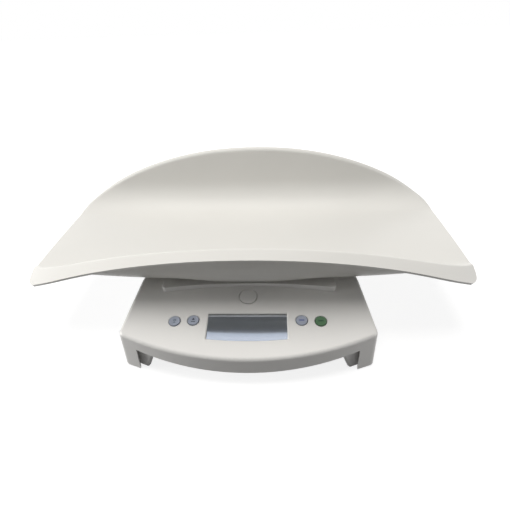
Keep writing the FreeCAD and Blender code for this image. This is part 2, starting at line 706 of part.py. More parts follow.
def load_cell(sx, sy):
    """Flat steel cell: an outer frame on the housing, a middle tongue on the foot."""
    x, y = cell_place(sx, sy)
    z0, z1 = CELL_SEAT_Z, CELL_SEAT_Z + CELL_T
    plate = box(x - CELL_X / 2, x + CELL_X / 2, y - CELL_Y / 2, y + CELL_Y / 2, z0, z1)
    inner = CELL_X / 2 - CELL_ARM
    y0 = y - CELL_Y / 2 + CELL_BAR
    y1 = y + CELL_Y / 2 - CELL_BAR
    tools = [box(x - inner, x - inner + CELL_SLOT, y0, y1, z0, z1),
             box(x + inner - CELL_SLOT, x + inner, y0, y1, z0, z1),
             box(x - inner, x + inner, y0, y0 + CELL_SLOT, z0, z1),
             post(x, y, z0, z1, FOOT_SCREW[1] + SCREW_CLEAR)]
    mine = [(px, py) for px, py in cell_screws() if px in cell_arms(x, y) and abs(py - y) < CELL_Y]
    for px, py in mine:
        tools.append(post(px, py, z0, z1, CELL_SCREW[1] + SCREW_CLEAR))
    return cut(plate, tools)


def load_cell_screws():
    seat = CELL_SEAT_Z + CELL_T
    return Part.makeCompound([pan_screw(x, y, seat, -1, CELL_SCREW) for x, y in cell_screws()])


def foot_screws():
    return Part.makeCompound([pan_screw(x, y, CELL_SEAT_Z + CELL_T, -1, FOOT_SCREW) for x, y in cells()])


def bay_size():
    """Half width and the two ends of the battery bay."""
    half = 2 * CELL_PITCH + BAY_SIDE
    return half, BAY_Y0, BAY_Y0 + CELL_LEN + 2 * CELL_GAP_END


def bay_top():
    return SKIRT_Z + CELL_UNDER + 2 * CELL_R


def battery_z():
    """Height of the cells' axes."""
    return bay_top() - CELL_TOP_GAP - CELL_R


def battery_xs():
    return [(i - 1.5) * CELL_PITCH for i in range(4)]


def battery_cells():
    """Four cells side by side, alternately turned."""
    parts = []
    nub_r, nub_h = NUB_SIZE
    _, y0, y1 = bay_size()
    for i, x in enumerate(battery_xs()):
        way = 1 if i % 2 else -1
        start = V(x, y0 + CELL_GAP_END if way > 0 else y1 - CELL_GAP_END, battery_z())
        body = Part.makeCylinder(CELL_R, CELL_LEN - nub_h, start, V(0, way, 0))
        parts.append(body.fuse(Part.makeCylinder(nub_r, CELL_LEN, start, V(0, way, 0))))
    return Part.makeCompound(parts)


def contact_plate(x, wall, way):
    """Nickel plate on the end wall of the bay, on the side that way points to."""
    ys = sorted((wall, wall + way * CONTACT_T))
    z = battery_z()
    return box(x - CONTACT_HALF, x + CONTACT_HALF, ys[0], ys[1], z - CONTACT_HALF, z + CONTACT_HALF)


def battery_contacts():
    """Flat nickel plates on the bay's end walls, one to each positive end."""
    parts = []
    _, y0, y1 = bay_size()
    for i, x in enumerate(battery_xs()):
        wall, way = (y1, -1) if i % 2 else (y0, 1)
        reach = CELL_GAP_END - CONTACT_GAP
        dome = Part.makeCylinder(CONTACT_DOME_R, reach, V(x, wall, battery_z()), V(0, way, 0))
        parts.append(contact_plate(x, wall, way).fuse(dome))
    return Part.makeCompound(parts)


def battery_springs():
    """Conical contact springs against the negative ends, each on its own plate."""
    parts = []
    _, y0, y1 = bay_size()
    pitch = (CELL_GAP_END - CONTACT_T - CONTACT_GAP) / CONE_RINGS
    for i, x in enumerate(battery_xs()):
        wall, way = (y0, 1) if i % 2 else (y1, -1)
        rings = [contact_plate(x, wall, way)]
        for k in range(CONE_RINGS):
            y = wall + way * (CONTACT_T + pitch * (k + 0.45))
            rings.append(Part.makeTorus(CONE_R - CONE_STEP * k, CONE_WIRE, V(x, y, battery_z()), V(0, 1, 0)))
        parts.append(fused(rings))
    return Part.makeCompound(parts)


def battery_cover():
    half, y0, y1 = bay_size()
    z1 = SKIRT_Z - COVER_GAP
    z0 = z1 - COVER_T
    plate = box(-half - COVER_LAP, half + COVER_LAP, y0 - COVER_LAP, y1 + COVER_LAP, z0, z1)
    count, pitch, width, reach, depth = GRIPS
    starts = [y0 + GRIP_START + pitch * i for i in range(count)]
    return cut(plate, [box(-reach, reach, y, y + width, z0 - 1, z0 + depth) for y in starts])


# ---- panel parts ----------------------------------------------------------------------------
def display_window():
    x = WINDOW_HALF + LENS_MARGIN
    low = -WALL - LENS_T
    return on_panel(box(-x, x, WINDOW_V0 - WINDOW_BULGE - LENS_MARGIN, WINDOW_V1 + LENS_MARGIN, low, -WALL))


def glass_box():
    x = WINDOW_HALF + LCD_MARGIN
    return -x, x, WINDOW_V0 - LCD_MARGIN, WINDOW_V1 + LCD_MARGIN


def lcd_glass():
    x0, x1, v0, v1 = glass_box()
    top = -WALL - LENS_T - SEAT
    return on_panel(box(x0, x1, v0, v1, top - LCD_T, top))


def lcd_holder():
    x0, x1, v0, v1 = glass_box()
    top = -WALL - LENS_T
    outer = box(x0 - HOLDER_RIM, x1 + HOLDER_RIM, v0 - HOLDER_RIM, v1 + HOLDER_RIM, BOARD_W, top)
    pocket = box(x0 - SEAT, x1 + SEAT, v0 - SEAT, v1 + SEAT, top - LCD_T - 2 * SEAT, top + 1)
    well = box(x0 + HOLDER_LEDGE, x1 - HOLDER_LEDGE, v0 + HOLDER_LEDGE, v1 - HOLDER_LEDGE, BOARD_W - 1, top)
    return on_panel(cut(outer, [pocket, well]))


def lcd_contact_strips():
    """Two elastomer strips that press the glass's edge contacts onto the board."""
    x0, x1, v0, v1 = glass_box()
    top = -WALL - LENS_T - SEAT - LCD_T
    low = v0 + HOLDER_LEDGE + SEAT
    high = v1 - HOLDER_LEDGE - SEAT - STRIP_T
    return Part.makeCompound([on_panel(box(x0 + STRIP_END, x1 - STRIP_END, v, v + STRIP_T, BOARD_W, top))
                              for v in (low, high)])


def main_board():
    board = box(-BOARD_HALF, BOARD_HALF, BOARD_V0, BOARD_V1, BOARD_W - BOARD_T, BOARD_W)
    holes = [post(x, v, BOARD_W - BOARD_T, BOARD_W, BOARD_SCREW[1] + SCREW_CLEAR) for x, v in board_screws()]
    return on_panel(cut(board, holes))


def board_components():
    """Chips, capacitors, sounder and two rows of resistors under the board."""
    w = BOARD_W - BOARD_T
    shapes = []
    for x, v, half_x, half_v, height in CHIPS:
        v += BOARD_V0
        shapes.append(box(x - half_x, x + half_x, v - half_v, v + half_v, w - height, w))
    for x, v, radius, height in CAPACITORS + (SOUNDER,):
        shapes.append(post(x, v + BOARD_V0, w - height, w, radius))
    length, width, height = RESISTOR
    for i in range(RESISTOR_COUNT):
        x = RESISTOR_X0 + i * RESISTOR_PITCH
        for v in RESISTOR_ROWS:
            v += BOARD_V0
            shapes.append(box(x, x + length, v, v + width, w - height, w))
    return Part.makeCompound([on_panel(s) for s in shapes])


def socket_places():
    """Where each lead's socket sits under the board: x and v."""
    places = {}
    for name, sx, sy in corners():
        x, v = FRONT_SOCKET if sy < 0 else REAR_SOCKET
        places[name] = (sx * x, v + BOARD_V0)
    places["battery"] = (BATTERY_SOCKET[0], BATTERY_SOCKET[1] + BOARD_V0)
    return places


def board_sockets():
    w = BOARD_W - BOARD_T
    shapes = []
    for x, v in socket_places().values():
        shapes.append(box(x - SOCKET_HALF_L, x + SOCKET_HALF_L, v - SOCKET_HALF_W, v + SOCKET_HALF_W,
                          w - SOCKET_H, w))
    return Part.makeCompound([on_panel(s) for s in shapes])


def board_screw_set():
    return Part.makeCompound([on_panel(pan_screw(x, v, BOARD_W - BOARD_T, 1, BOARD_SCREW))
                              for x, v in board_screws()])


def key_mats():
    """Two silicone mats with a dome under each key."""
    parts = []
    v0, v1 = KEY_OUTER_V - MAT_EDGE, KEY_OUTER_V + MAT_TOP_EDGE
    height = -KEY_DEPTH - SEAT - BOARD_W
    tip_r = MAT_DOME_R - MAT_DOME_TAPER
    for sx in (-1, 1):
        mine = [(x, v) for _, x, v in keys() if x * sx > 0]
        xs = sorted((sx * (KEY_INNER_X - MAT_EDGE), sx * (KEY_OUTER_X + MAT_EDGE)))
        sheet = box(xs[0], xs[1], v0, v1, BOARD_W, BOARD_W + MAT_T)
        domes = [Part.makeCone(MAT_DOME_R, tip_r, height, V(x, v, BOARD_W)) for x, v in mine]
        parts.append(on_panel(sheet.multiFuse(domes)))
    return Part.makeCompound(parts)


def rounded_disc(x, v, low, high, radius, edge):
    """Upright disc with a rounded upper edge."""
    disc = post(x, v, low, high, radius)
    return disc.makeFillet(edge, [e for e in disc.Edges if abs(e.BoundBox.ZMin - high) < 0.01])


def key(x, v):
    cap = rounded_disc(x, v, -KEY_DEPTH, KEY_PROUD, KEY_R, KEY_EDGE_R)
    flange_top = -WALL - KEY_STOP
    flange = post(x, v, flange_top - KEY_FLANGE_T, flange_top, KEY_FLANGE_R)
    return on_panel(cap.fuse(flange).removeSplitter())


# ---- release latch --------------------------------------------------------------------------
def button_axis_y(z):
    """Where the button's axis is at height z."""
    y = FRONT_Y + BUTTON_V * COS
    top = PANEL_FRONT_Z + BUTTON_V * SIN
    return y + (top - z) * TAN


def wedge_cut(gap):
    """Everything behind and below the 45 degree plane between button stem and slider."""
    z = SLIDER_Z0 + SLIDER_T / 2
    y = button_axis_y(z) + gap * math.sqrt(2.0)
    points = [V(-FAR, y - FAR, z - FAR), V(-FAR, y + FAR, z + FAR), V(-FAR, y + FAR, z - FAR)]
    return Part.Face(Part.makePolygon(points + [points[0]])).extrude(V(2 * FAR, 0, 0))


def release_button():
    """Round cap with a rim and a flange under the panel, on a stem with a slanted foot."""
    cap = rounded_disc(0, BUTTON_V, BUTTON_PROUD - BUTTON_CAP_T, BUTTON_PROUD, BUTTON_R, BUTTON_EDGE_R)
    low = -BUTTON_SKIRT
    flange_top = -WALL - KEY_STOP
    hollow = post(0, BUTTON_V, low, BUTTON_PROUD - BUTTON_CAP_T, BUTTON_R - BUTTON_WALL)
    rim = post(0, BUTTON_V, low, BUTTON_PROUD - BUTTON_CAP_T, BUTTON_R).cut(hollow)
    flange = post(0, BUTTON_V, low, flange_top, BUTTON_R + BUTTON_FLANGE).cut(hollow)
    stem = on_panel(post(0, BUTTON_V, -BUTTON_STEM_L, 0, BUTTON_STEM_R)).cut(wedge_cut(0.0))
    return fused([on_panel(fused([cap, rim, flange])), stem])


def latch_slider():
    """Flat slider: a neck under the button, the spring's window and a nose that opens the clip."""
    z1 = SLIDER_Z0 + SLIDER_T
    w0, w1 = SPRING_WINDOW
    front = button_axis_y(SLIDER_Z0) - SLIDER_NECK_L
    tip = SLIDER_REAR_Y + SLIDER_NOSE
    slope = CLIP_FLARE / CLIP_FLARE_L
    inner = CLIP_HALF - CLIP_WIRE_R - 2 * LATCH_CLEAR
    tip_half = inner + slope * (CLIP_FRONT_Y - tip)
    rear_half = inner + slope * (CLIP_FRONT_Y - SLIDER_REAR_Y)
    neck = box(-SLIDER_NECK_HALF, SLIDER_NECK_HALF, front, w0, SLIDER_Z0, z1).common(wedge_cut(LATCH_CLEAR))
    body = box(-SLIDER_HALF, SLIDER_HALF, w0 - SLIDER_EDGE, SLIDER_REAR_Y, SLIDER_Z0, z1)
    root = SLIDER_REAR_Y - 1
    nose = prism([(-rear_half, root), (rear_half, root), (rear_half, SLIDER_REAR_Y), (tip_half, tip),
                  (-tip_half, tip), (-rear_half, SLIDER_REAR_Y)], SLIDER_Z0, z1)
    window = box(-SPRING_HALF, SPRING_HALF, w0, w1, SLIDER_Z0, z1)
    nub = Part.makeCylinder(NUB_R, NUB_L, V(0, w0, SLIDER_Z0 + SLIDER_T / 2), V(0, 1, 0))
    return fused([neck, body, nose]).cut(window).fuse(nub).removeSplitter()


def latch_spring():
    """Return spring between the slider's window and the bracket's tab, as a wound wire."""
    y0 = SPRING_WINDOW[0] + SEAT + SPRING_WIRE_R
    y1 = spring_tab_y() - SEAT - SPRING_WIRE_R
    pitch = (y1 - y0) / SPRING_TURNS
    helix = Part.makeHelix(pitch, y1 - y0, SPRING_R)
    ring = Part.Wire([Part.Circle(V(SPRING_R, 0, 0), V(0, 1, 0), SPRING_WIRE_R).toShape()])
    coil = Part.Wire(helix.Edges).makePipeShell([ring], True, True)
    coil.rotate(V(0, 0, 0), V(1, 0, 0), -90)
    coil.translate(V(0, y0, SLIDER_Z0 + SLIDER_T / 2))
    return coil


def spring_tab_y():
    return SPRING_WINDOW[1] - TAB_BACK


def latch_bracket():
    """Pressed bracket under the roof that carries the slider, its spring and the clip."""
    floor_top = SLIDER_Z0 - LATCH_CLEAR
    z0 = floor_top - BRACKET_T
    flange_top = BRACKET_FLANGE_Z + BRACKET_T
    wall = BRACKET_HALF + BRACKET_T
    y0, y1 = BRACKET_FRONT_Y, BRACKET_REAR_Y
    mid = SLIDER_Z0 + SLIDER_T / 2
    lip_z = SLIDER_Z0 + SLIDER_T + LATCH_CLEAR
    parts = [box(-wall, wall, y0, y1, z0, floor_top)]
    for sx in (-1, 1):
        side = sorted((sx * BRACKET_HALF, sx * wall))
        guide = sorted((sx * (SLIDER_HALF + LATCH_CLEAR), sx * BRACKET_HALF))
        lip = sorted((sx * (SLIDER_HALF - GUIDE_LIP), sx * BRACKET_HALF))
        parts.append(box(side[0], side[1], y0, y1, z0, flange_top))
        for ya, yb in GUIDES:
            parts.append(box(guide[0], guide[1], ya, yb, z0, lip_z + GUIDE_LIP))
            parts.append(box(lip[0], lip[1], ya, yb, lip_z, lip_z + GUIDE_LIP))
    for x, y in bracket_screws():
        ear = sorted((math.copysign(BRACKET_HALF, x), math.copysign(wall + BRACKET_EAR, x)))
        near, far = y - BRACKET_EAR_HALF, y + BRACKET_EAR_HALF
        parts.append(box(ear[0], ear[1], near, far, BRACKET_FLANGE_Z, flange_top))
    tab = spring_tab_y()
    parts.append(box(-TAB_HALF, TAB_HALF, tab, tab + TAB_T, z0, mid + TAB_RISE))
    parts.append(Part.makeCylinder(NUB_R, NUB_L, V(0, tab, mid), V(0, -1, 0)))
    seat_half = CLIP_HALF + 3 * CLIP_WIRE_R
    seat_y = CLIP_REAR_Y - CLIP_SEAT_FRONT
    seat_z = mid - CLIP_WIRE_R - SEAT / 2
    parts.append(box(-seat_half, seat_half, seat_y, CLIP_REAR_Y + seat_half, z0, seat_z))
    parts.append(post(0, CLIP_REAR_Y, z0, mid + TAB_RISE, CLIP_HALF - CLIP_WIRE_R - SEAT))
    holes = [box(-SPRING_HALF, SPRING_HALF, SPRING_WINDOW[0] - 1, tab - SEAT, z0, floor_top),
             post(0, POST_Y, z0, floor_top, POST_R + PEG_CLEAR)]
    for x, y in bracket_screws():
        holes.append(post(x, y, BRACKET_FLANGE_Z, flange_top, BRACKET_SCREW[1] + SCREW_CLEAR))
    return cut(fused(parts), holes)


def bracket_screw_set():
    return Part.makeCompound([pan_screw(x, y, BRACKET_FLANGE_Z, 1, BRACKET_SCREW) for x, y in bracket_screws()])


def latch_clip():
    """Hairpin spring: its two arms lie in the groove of the tray's post."""
    z = SLIDER_Z0 + SLIDER_T / 2
    arm = CLIP_REAR_Y - CLIP_FRONT_Y
    parts = []
    for sx in (-1, 1):
        elbow = V(sx * CLIP_HALF, CLIP_FRONT_Y, z)
        way = V(sx * CLIP_FLARE, -CLIP_FLARE_L, 0)
        parts.append(Part.makeCylinder(CLIP_WIRE_R, arm, elbow, V(0, 1, 0)))
        parts.append(Part.makeSphere(CLIP_WIRE_R, elbow))
        parts.append(Part.makeCylinder(CLIP_WIRE_R, way.Length, elbow, way))
    bow = Part.makeTorus(CLIP_HALF, CLIP_WIRE_R, V(0, CLIP_REAR_Y, z), V(0, 0, 1))
    parts.append(bow.common(box(-FAR, FAR, CLIP_REAR_Y, FAR, z - CLIP_WIRE_R, z + CLIP_WIRE_R)))
    return fused(parts)


# ---- tray mount -----------------------------------------------------------------------------
def frame_z():
    z0 = PLATFORM_Z + MOUNT_GAP
    return z0, z0 + FRAME_PLATE_T


def rounded_box(x0, x1, y0, y1, z0, z1, radius):
    solid = box(x0, x1, y0, y1, z0, z1)
    return solid.makeFillet(radius, upright_edges(solid))


def tray_frame():
    """Shallow ribbed tray with two pegs, screwed under the bed."""
    z0, z1 = frame_z()
    t = FRAME_RIM_T
    outer = rounded_box(-FRAME_HALF, FRAME_HALF, FRAME_Y0, FRAME_Y1, z0, TRAY_BOTTOM_Z, FRAME_CORNER_R)
    inner = rounded_box(-FRAME_HALF + t, FRAME_HALF - t, FRAME_Y0 + t, FRAME_Y1 - t, z1, TRAY_BOTTOM_Z,
                        FRAME_CORNER_R - t)
    rib = RIB_T / 2
    middle = (FRAME_Y0 + FRAME_Y1) / 2
    ribs = [box(x - rib, x + rib, FRAME_Y0 + rib, FRAME_Y1 - rib, z0, TRAY_BOTTOM_Z) for x in (-RIB_X, RIB_X)]
    ribs.append(box(-FRAME_HALF + rib, FRAME_HALF - rib, middle - rib, middle + rib, z0, TRAY_BOTTOM_Z))
    pegs = [post(sx * PEG_X, PEG_Y, z0 - PEG_LEN, z1, PEG_R) for sx in (-1, 1)]
    pegs = [p.makeChamfer(PEG_CHAMFER, [e for e in p.Edges if e.BoundBox.ZMax < z0 - PEG_LEN + 0.01]) for p in pegs]
    solid = fused([outer.cut(inner)] + ribs + pegs)
    holes = [post(x, y, z0, z1, TRAY_SCREW[1] + SCREW_CLEAR) for x, y in tray_bosses()]
    holes += [post(x, y, z0, z0 + PAD_INSET, PAD_R + SEAT) for x, y in tray_pad_places()]
    holes.append(post(0, POST_Y, z0, z1, POST_R + PILOT_CLEAR))
    return cut(solid, holes)


def tray_bosses():
    return [(sx * TRAY_BOSS_X, y) for y in TRAY_BOSS_Y for sx in (-1, 1)]


def tray_pad_places():
    return [(sx * PAD_X, y) for y in PAD_Y for sx in (-1, 1)]


def tray_pads():
    z0, _ = frame_z()
    return Part.makeCompound([post(x, y, PLATFORM_Z, z0 + PAD_INSET, PAD_R) for x, y in tray_pad_places()])


def tray_screws():
    z0, _ = frame_z()
    return Part.makeCompound([pan_screw(x, y, z0, 1, TRAY_SCREW) for x, y in tray_bosses()])


def catch_post():
    """Grooved post under the tray that the spring clip holds."""
    _, z1 = frame_z()
    mid = SLIDER_Z0 + SLIDER_T / 2
    groove = CLIP_WIRE_R + GROOVE_CLEAR
    head_r = POST_GROOVE_R + POST_HEAD_LIP
    low = mid - groove
    flange = post(0, POST_Y, z1, z1 + POST_FLANGE[1], POST_R + POST_FLANGE[0])
    shank = post(0, POST_Y, mid + groove, z1 + POST_FLANGE[1], POST_R)
    neck = post(0, POST_Y, low - POST_HEAD_STRAIGHT, mid + groove + 1, POST_GROOVE_R)
    head = post(0, POST_Y, low - POST_HEAD_STRAIGHT, low, head_r)
    tip = Part.makeCone(POST_TIP_R, head_r, POST_HEAD_H - POST_HEAD_STRAIGHT, V(0, POST_Y, low - POST_HEAD_H))
    return fused([flange, shank, neck, head, tip])


# ---- tray -----------------------------------------------------------------------------------
class Curve:
    """Chain of straight runs and arcs in the tray's section, as points with outward normals."""

    def __init__(self, y, z, angle):
        self.y, self.z, self.angle = y, z, angle
        self.points = []

    def add(self, y, z, angle):
        self.points.append((y, z, math.sin(angle), -math.cos(angle)))

    def run(self, length, count, crowding=1.0):
        """Straight run, with its points crowded towards its start above 1."""
        for i in range(1, count + 1):
            step = length * (i / count) ** crowding
            self.add(self.y + step * math.cos(self.angle), self.z + step * math.sin(self.angle), self.angle)
        self.y += length * math.cos(self.angle)
        self.z += length * math.sin(self.angle)

    def turn(self, radius, degrees, count):
        """Left-hand turn for positive degrees."""
        side = 1.0 if degrees > 0 else -1.0
        cy = self.y - side * radius * math.sin(self.angle)
        cz = self.z + side * radius * math.cos(self.angle)
        start = self.angle
        for i in range(1, count + 1):
            angle = start + math.radians(degrees) * i / count
            self.add(cy + side * radius * math.sin(angle), cz - side * radius * math.cos(angle), angle)
        self.angle = start + math.radians(degrees)
        self.y = cy + side * radius * math.sin(self.angle)
        self.z = cz - side * radius * math.cos(self.angle)


def bed_z(x):
    rise = max(0.0, (abs(x) - BED_FLAT_HALF) / (TRAY_HALF - BED_FLAT_HALF))
    return TRAY_BOTTOM_Z + TRAY_T + BED_RISE * rise * rise


def front_wall(height, lip_slope):
    """Turn of the front arc and length of straight wall above it that bring the crest to height."""
    def rise(degrees):
        lean = math.radians(degrees)
        cutoff = CREST_R * math.tan((lean + math.radians(lip_slope)) / 2)
        return FRONT_ARC_R * (1 - math.cos(lean)) + (cutoff + FRONT_WALL_MIN) * math.sin(lean)

    spare = height - rise(FRONT_LEAN)
    if spare >= 0:
        return FRONT_LEAN, FRONT_WALL_MIN + spare / math.sin(math.radians(FRONT_LEAN))
    low, high = 0.0, FRONT_LEAN
    for _ in range(40):
        middle = (low + high) / 2
        if rise(middle) < height:
            low = middle
        else:
            high = middle
    return low, FRONT_WALL_MIN


def tray_section(x):
    """Upper face of the tray at x, from the lip's edge over the crest, down and up to the rim."""
    s = abs(x) / TRAY_HALF
    lip_w = LIP_W[0] + (LIP_W[1] - LIP_W[0]) * s * s
    lip_slope = LIP_SLOPE[0] + (LIP_SLOPE[1] - LIP_SLOPE[0]) * s * s
    bed = bed_z(x)
    crest = CREST_Z - CREST_DROP * s ** CREST_POWER
    arc_y = FRONT_ARC_Y + x * x / (2 * FRONT_PLAN_R)
    turn_deg, wall = front_wall(crest - bed, lip_slope)
    turn = math.radians(turn_deg)
    bend = turn_deg + lip_slope
    cutoff = CREST_R * math.tan(math.radians(bend) / 2)
    top_y = arc_y - FRONT_ARC_R * math.sin(turn) - (wall + cutoff) * math.cos(turn)
    top_z = bed + FRONT_ARC_R * (1 - math.cos(turn)) + (wall + cutoff) * math.sin(turn)
    slope = math.radians(lip_slope)
    curve = Curve(top_y - lip_w * math.cos(slope), top_z - lip_w * math.sin(slope), slope)
    curve.add(curve.y, curve.z, curve.angle)
    curve.run(lip_w - cutoff, LIP_STEPS, LIP_CROWDING)
    curve.turn(CREST_R, -bend, CREST_STEPS)
    curve.run(wall, FRONT_STEPS)
    curve.turn(FRONT_ARC_R, turn_deg, ARC_STEPS)
    curve.angle = 0.0
    curve.run(back_arc_start() - arc_y, BED_STEPS)
    back_wall(curve, x, bed)
    return curve.points


def back_arc_start():
    """Where the bed turns up into the back wall."""
    lean = math.radians(BACK_LEAN)
    arc_top = TRAY_BOTTOM_Z + TRAY_T + BACK_ARC_R * (1 - math.cos(lean))
    return BACK_Y - (BACK_REF_Z - arc_top) / math.tan(lean) - BACK_ARC_R * math.sin(lean)


def back_wall(curve, x, bed):
    """Back arc and wall, in even steps, then the rolled rim."""
    lean = math.radians(BACK_LEAN)
    rim = RIM_Z - (RIM_ARCH_R - math.sqrt(RIM_ARCH_R ** 2 - x * x)) - RIM_ROLL_R
    arc_top = bed + BACK_ARC_R * (1 - math.cos(lean))
    turn, wall = lean, (rim - arc_top) / math.sin(lean)
    if rim <= arc_top:
        turn, wall = math.acos(1 - max(rim - bed, RIM_LEAST) / BACK_ARC_R), 0.0
    total = BACK_ARC_R * turn + wall
    y0 = curve.y
    for i in range(1, BACK_STEPS + 1):
        done = total * i / BACK_STEPS
        curve.angle = min(done / BACK_ARC_R, turn)
        straight = max(0.0, done - BACK_ARC_R * turn)
        curve.y = y0 + BACK_ARC_R * math.sin(curve.angle) + straight * math.cos(curve.angle)
        curve.z = bed + BACK_ARC_R * (1 - math.cos(curve.angle)) + straight * math.sin(curve.angle)
        curve.add(curve.y, curve.z, curve.angle)
    curve.turn(RIM_ROLL_R + TRAY_T, -min(math.degrees(turn), RIM_TURN), RIM_STEPS)


def rounding(inside, radius):
    """How far a rounded corner lies in from the end, at this distance from the side."""
    left = radius - min(inside, radius)
    return radius - math.sqrt(radius ** 2 - left ** 2)


def end_x(j, section):
    """Half length of the tray at station j: ends bow out, corners at lip and rim are rounded in plan."""
    here = section[j][:2]
    lip = rounding(math.dist(here, section[0][:2]), LIP_CORNER)
    rim = rounding(math.dist(here, section[-1][:2]), RIM_CORNER)
    bow = END_BOW * ((here[0] - END_BOW_Y) / END_BOW_L) ** 2
    return TRAY_HALF - bow - lip - rim


def keel(x, ny, nz):
    """How far the underside bulges over the platform, by how steeply the front arc stands there."""
    share = min(max((abs(x) - KEEL_HALF) / KEEL_BLEND, 0.0), 1.0)
    lean = math.degrees(math.atan2(-ny, -nz))
    rise = min(1.0, max(lean, 0.0) / KEEL_FADE, max(FRONT_LEAN - lean, 0.0) / KEEL_FADE)
    return KEEL_DROP * rise * (1 + math.cos(math.pi * share)) / 2


def knots(count, degree):
    inner = count - degree - 1
    values = [i / (inner + 1) for i in range(inner + 2)]
    return values, [degree + 1] + [1] * inner + [degree + 1]


def tray_poles(offset):
    """Control points of the tray's upper face, or of its lower one at offset below it."""
    rows = []
    end = tray_section(TRAY_HALF)
    crowd = STATION_CROWDING * math.pi / 2
    arc = LIP_STEPS + CREST_STEPS + FRONT_STEPS
    for i in range(TRAY_STATIONS):
        share = math.sin((2 * i / (TRAY_STATIONS - 1) - 1) * crowd) / math.sin(crowd)
        row = []
        for j in range(len(end)):
            x = share * end_x(j, end)
            y, z, ny, nz = tray_section(x)[j]
            deep = offset + (keel(x, ny, nz) if offset > 0 and arc < j <= arc + ARC_STEPS else 0.0)
            row.append(V(x, y + ny * deep, z + nz * deep))
        rows.append(row)
    return rows


def spline_face(rows):
    ku, mu = knots(len(rows), 3)
    kv, mv = knots(len(rows[0]), 3)
    surface = Part.BSplineSurface()
    surface.buildFromPolesMultsKnots(rows, mu, mv, ku, kv, False, False, 3, 3)
    return surface


def edge_strip(a, b):
    """Ruled strip between two spline edges with the same knots."""
    rows = [a, b]
    kv, mv = knots(len(a), 3)
    surface = Part.BSplineSurface()
    surface.buildFromPolesMultsKnots(rows, [2, 2], mv, [0.0, 1.0], kv, False, False, 1, 3)
    return surface.toShape()


def tray_shell():
    upper = tray_poles(0.0)
    lower = tray_poles(TRAY_T)
    faces = [spline_face(upper).toShape(), spline_face(lower).toShape(),
             edge_strip(upper[0], lower[0]), edge_strip(upper[-1], lower[-1]),
             edge_strip([r[0] for r in upper], [r[0] for r in lower]),
             edge_strip([r[-1] for r in upper], [r[-1] for r in lower])]
    shell = Part.makeShell(faces)
    shell.sewShape()
    solid = Part.makeSolid(shell if shell.ShapeType == "Shell" else shell.Shells[0])
    if solid.Volume < 0:
        solid.reverse()
    z0, z1 = frame_z()
    bosses = [post(x, y, z1, TRAY_BOTTOM_Z + TRAY_T / 2, TRAY_BOSS_R) for x, y in tray_bosses()]
    solid = solid.multiFuse(bosses)
    return cut(solid, [pilot(x, y, z1, z0, TRAY_SCREW) for x, y in tray_bosses()])


# ---- leads ----------------------------------------------------------------------------------
def lead(points):
    """Round lead along straight runs joined by tangent arcs, each as large as its runs allow."""
    pts = [V(*p) for p in points]
    radii = []
    edges = []
    start = pts[0]
    for i in range(1, len(pts) - 1):
        a = (pts[i - 1] - pts[i])
        b = (pts[i + 1] - pts[i])
        turn = math.pi - a.getAngle(b)
        reach = 0.45 * min(a.Length, b.Length)
        radius = reach / math.tan(turn / 2)
        radii.append(radius)
        a.normalize()
        b.normalize()
        p0 = pts[i] + a * reach
        p1 = pts[i] + b * reach
        way = a + b
        way.normalize()
        middle = pts[i] + way * (radius / math.cos(turn / 2) - radius)
        edges.append(Part.LineSegment(start, p0).toShape())
        edges.append(Part.Arc(p0, middle, p1).toShape())
        start = p1
    edges.append(Part.LineSegment(start, pts[-1]).toShape())
    path = Part.Wire(edges)
    first = pts[1] - pts[0]
    ring = Part.Wire([Part.Circle(pts[0], first, LEAD_R).toShape()])
    tube = path.makePipeShell([ring], True, False)
    print("lead length %.1f, least radius %.1f, volume over section times length %.4f"
          % (path.Length, min(radii), tube.Volume / (math.pi * LEAD_R ** 2 * path.Length)))
    return tube


def panel_point(x, v, w):
    return (x, FRONT_Y + v * COS - w * SIN, PANEL_FRONT_Z + v * SIN + w * COS)


def socket_side(name, dx, dv, away=0.0):
    """Middle of the socket's side that faces dx along x or dv up the slope, and points away from it."""
    x, v = socket_places()[name]
    reach_x = dx * (SOCKET_HALF_L + away)
    reach_v = dv * (SOCKET_HALF_W + away)
    return panel_point(x + reach_x, v + reach_v, BOARD_W - BOARD_T - SOCKET_H / 2)


def sensor_leads():
    """One lead from each load cell to its socket under the board."""
    parts = []
    middle = CELL_SEAT_Z + CELL_T / 2
    floor = FLOOR_Z + LEAD_R + SEAT
    for name, sx, sy in corners():
        cx, cy = cell_place(sx, sy)
        if sy < 0:
            start = cx - sx * CELL_X / 2
            end = socket_side(name, sx, 0)
            near = socket_side(name, sx, 0, 5.0)
            route = [(start, cy, middle), (start - sx * 5.5, cy, middle), (start - sx * 12.0, cy - 3.5, middle + 0.5),
                     (start - sx * 18.5, cy - 7.2, middle + 2.0), near, end]
        else:
            start = cy - CELL_Y / 2
            end = socket_side(name, 0, 1)
            near = socket_side(name, 0, 1, 8.0)
            route = [(cx, start, middle), (cx, start - 8, middle), (cx + sx, start - 18, floor + 0.4),
                     (cx - sx, start - 36, floor), (cx + sx * 2, start - 64, floor), (cx - sx * 2, start - 98, floor),
                     (cx, start - 126, floor + 1), (cx - sx * 6, start - 146, floor + 6.6),
                     (near[0] + sx, near[1] + 10.5, near[2] - 0.4), near, end]
        parts.append(lead(route))
    return Part.makeCompound(parts)


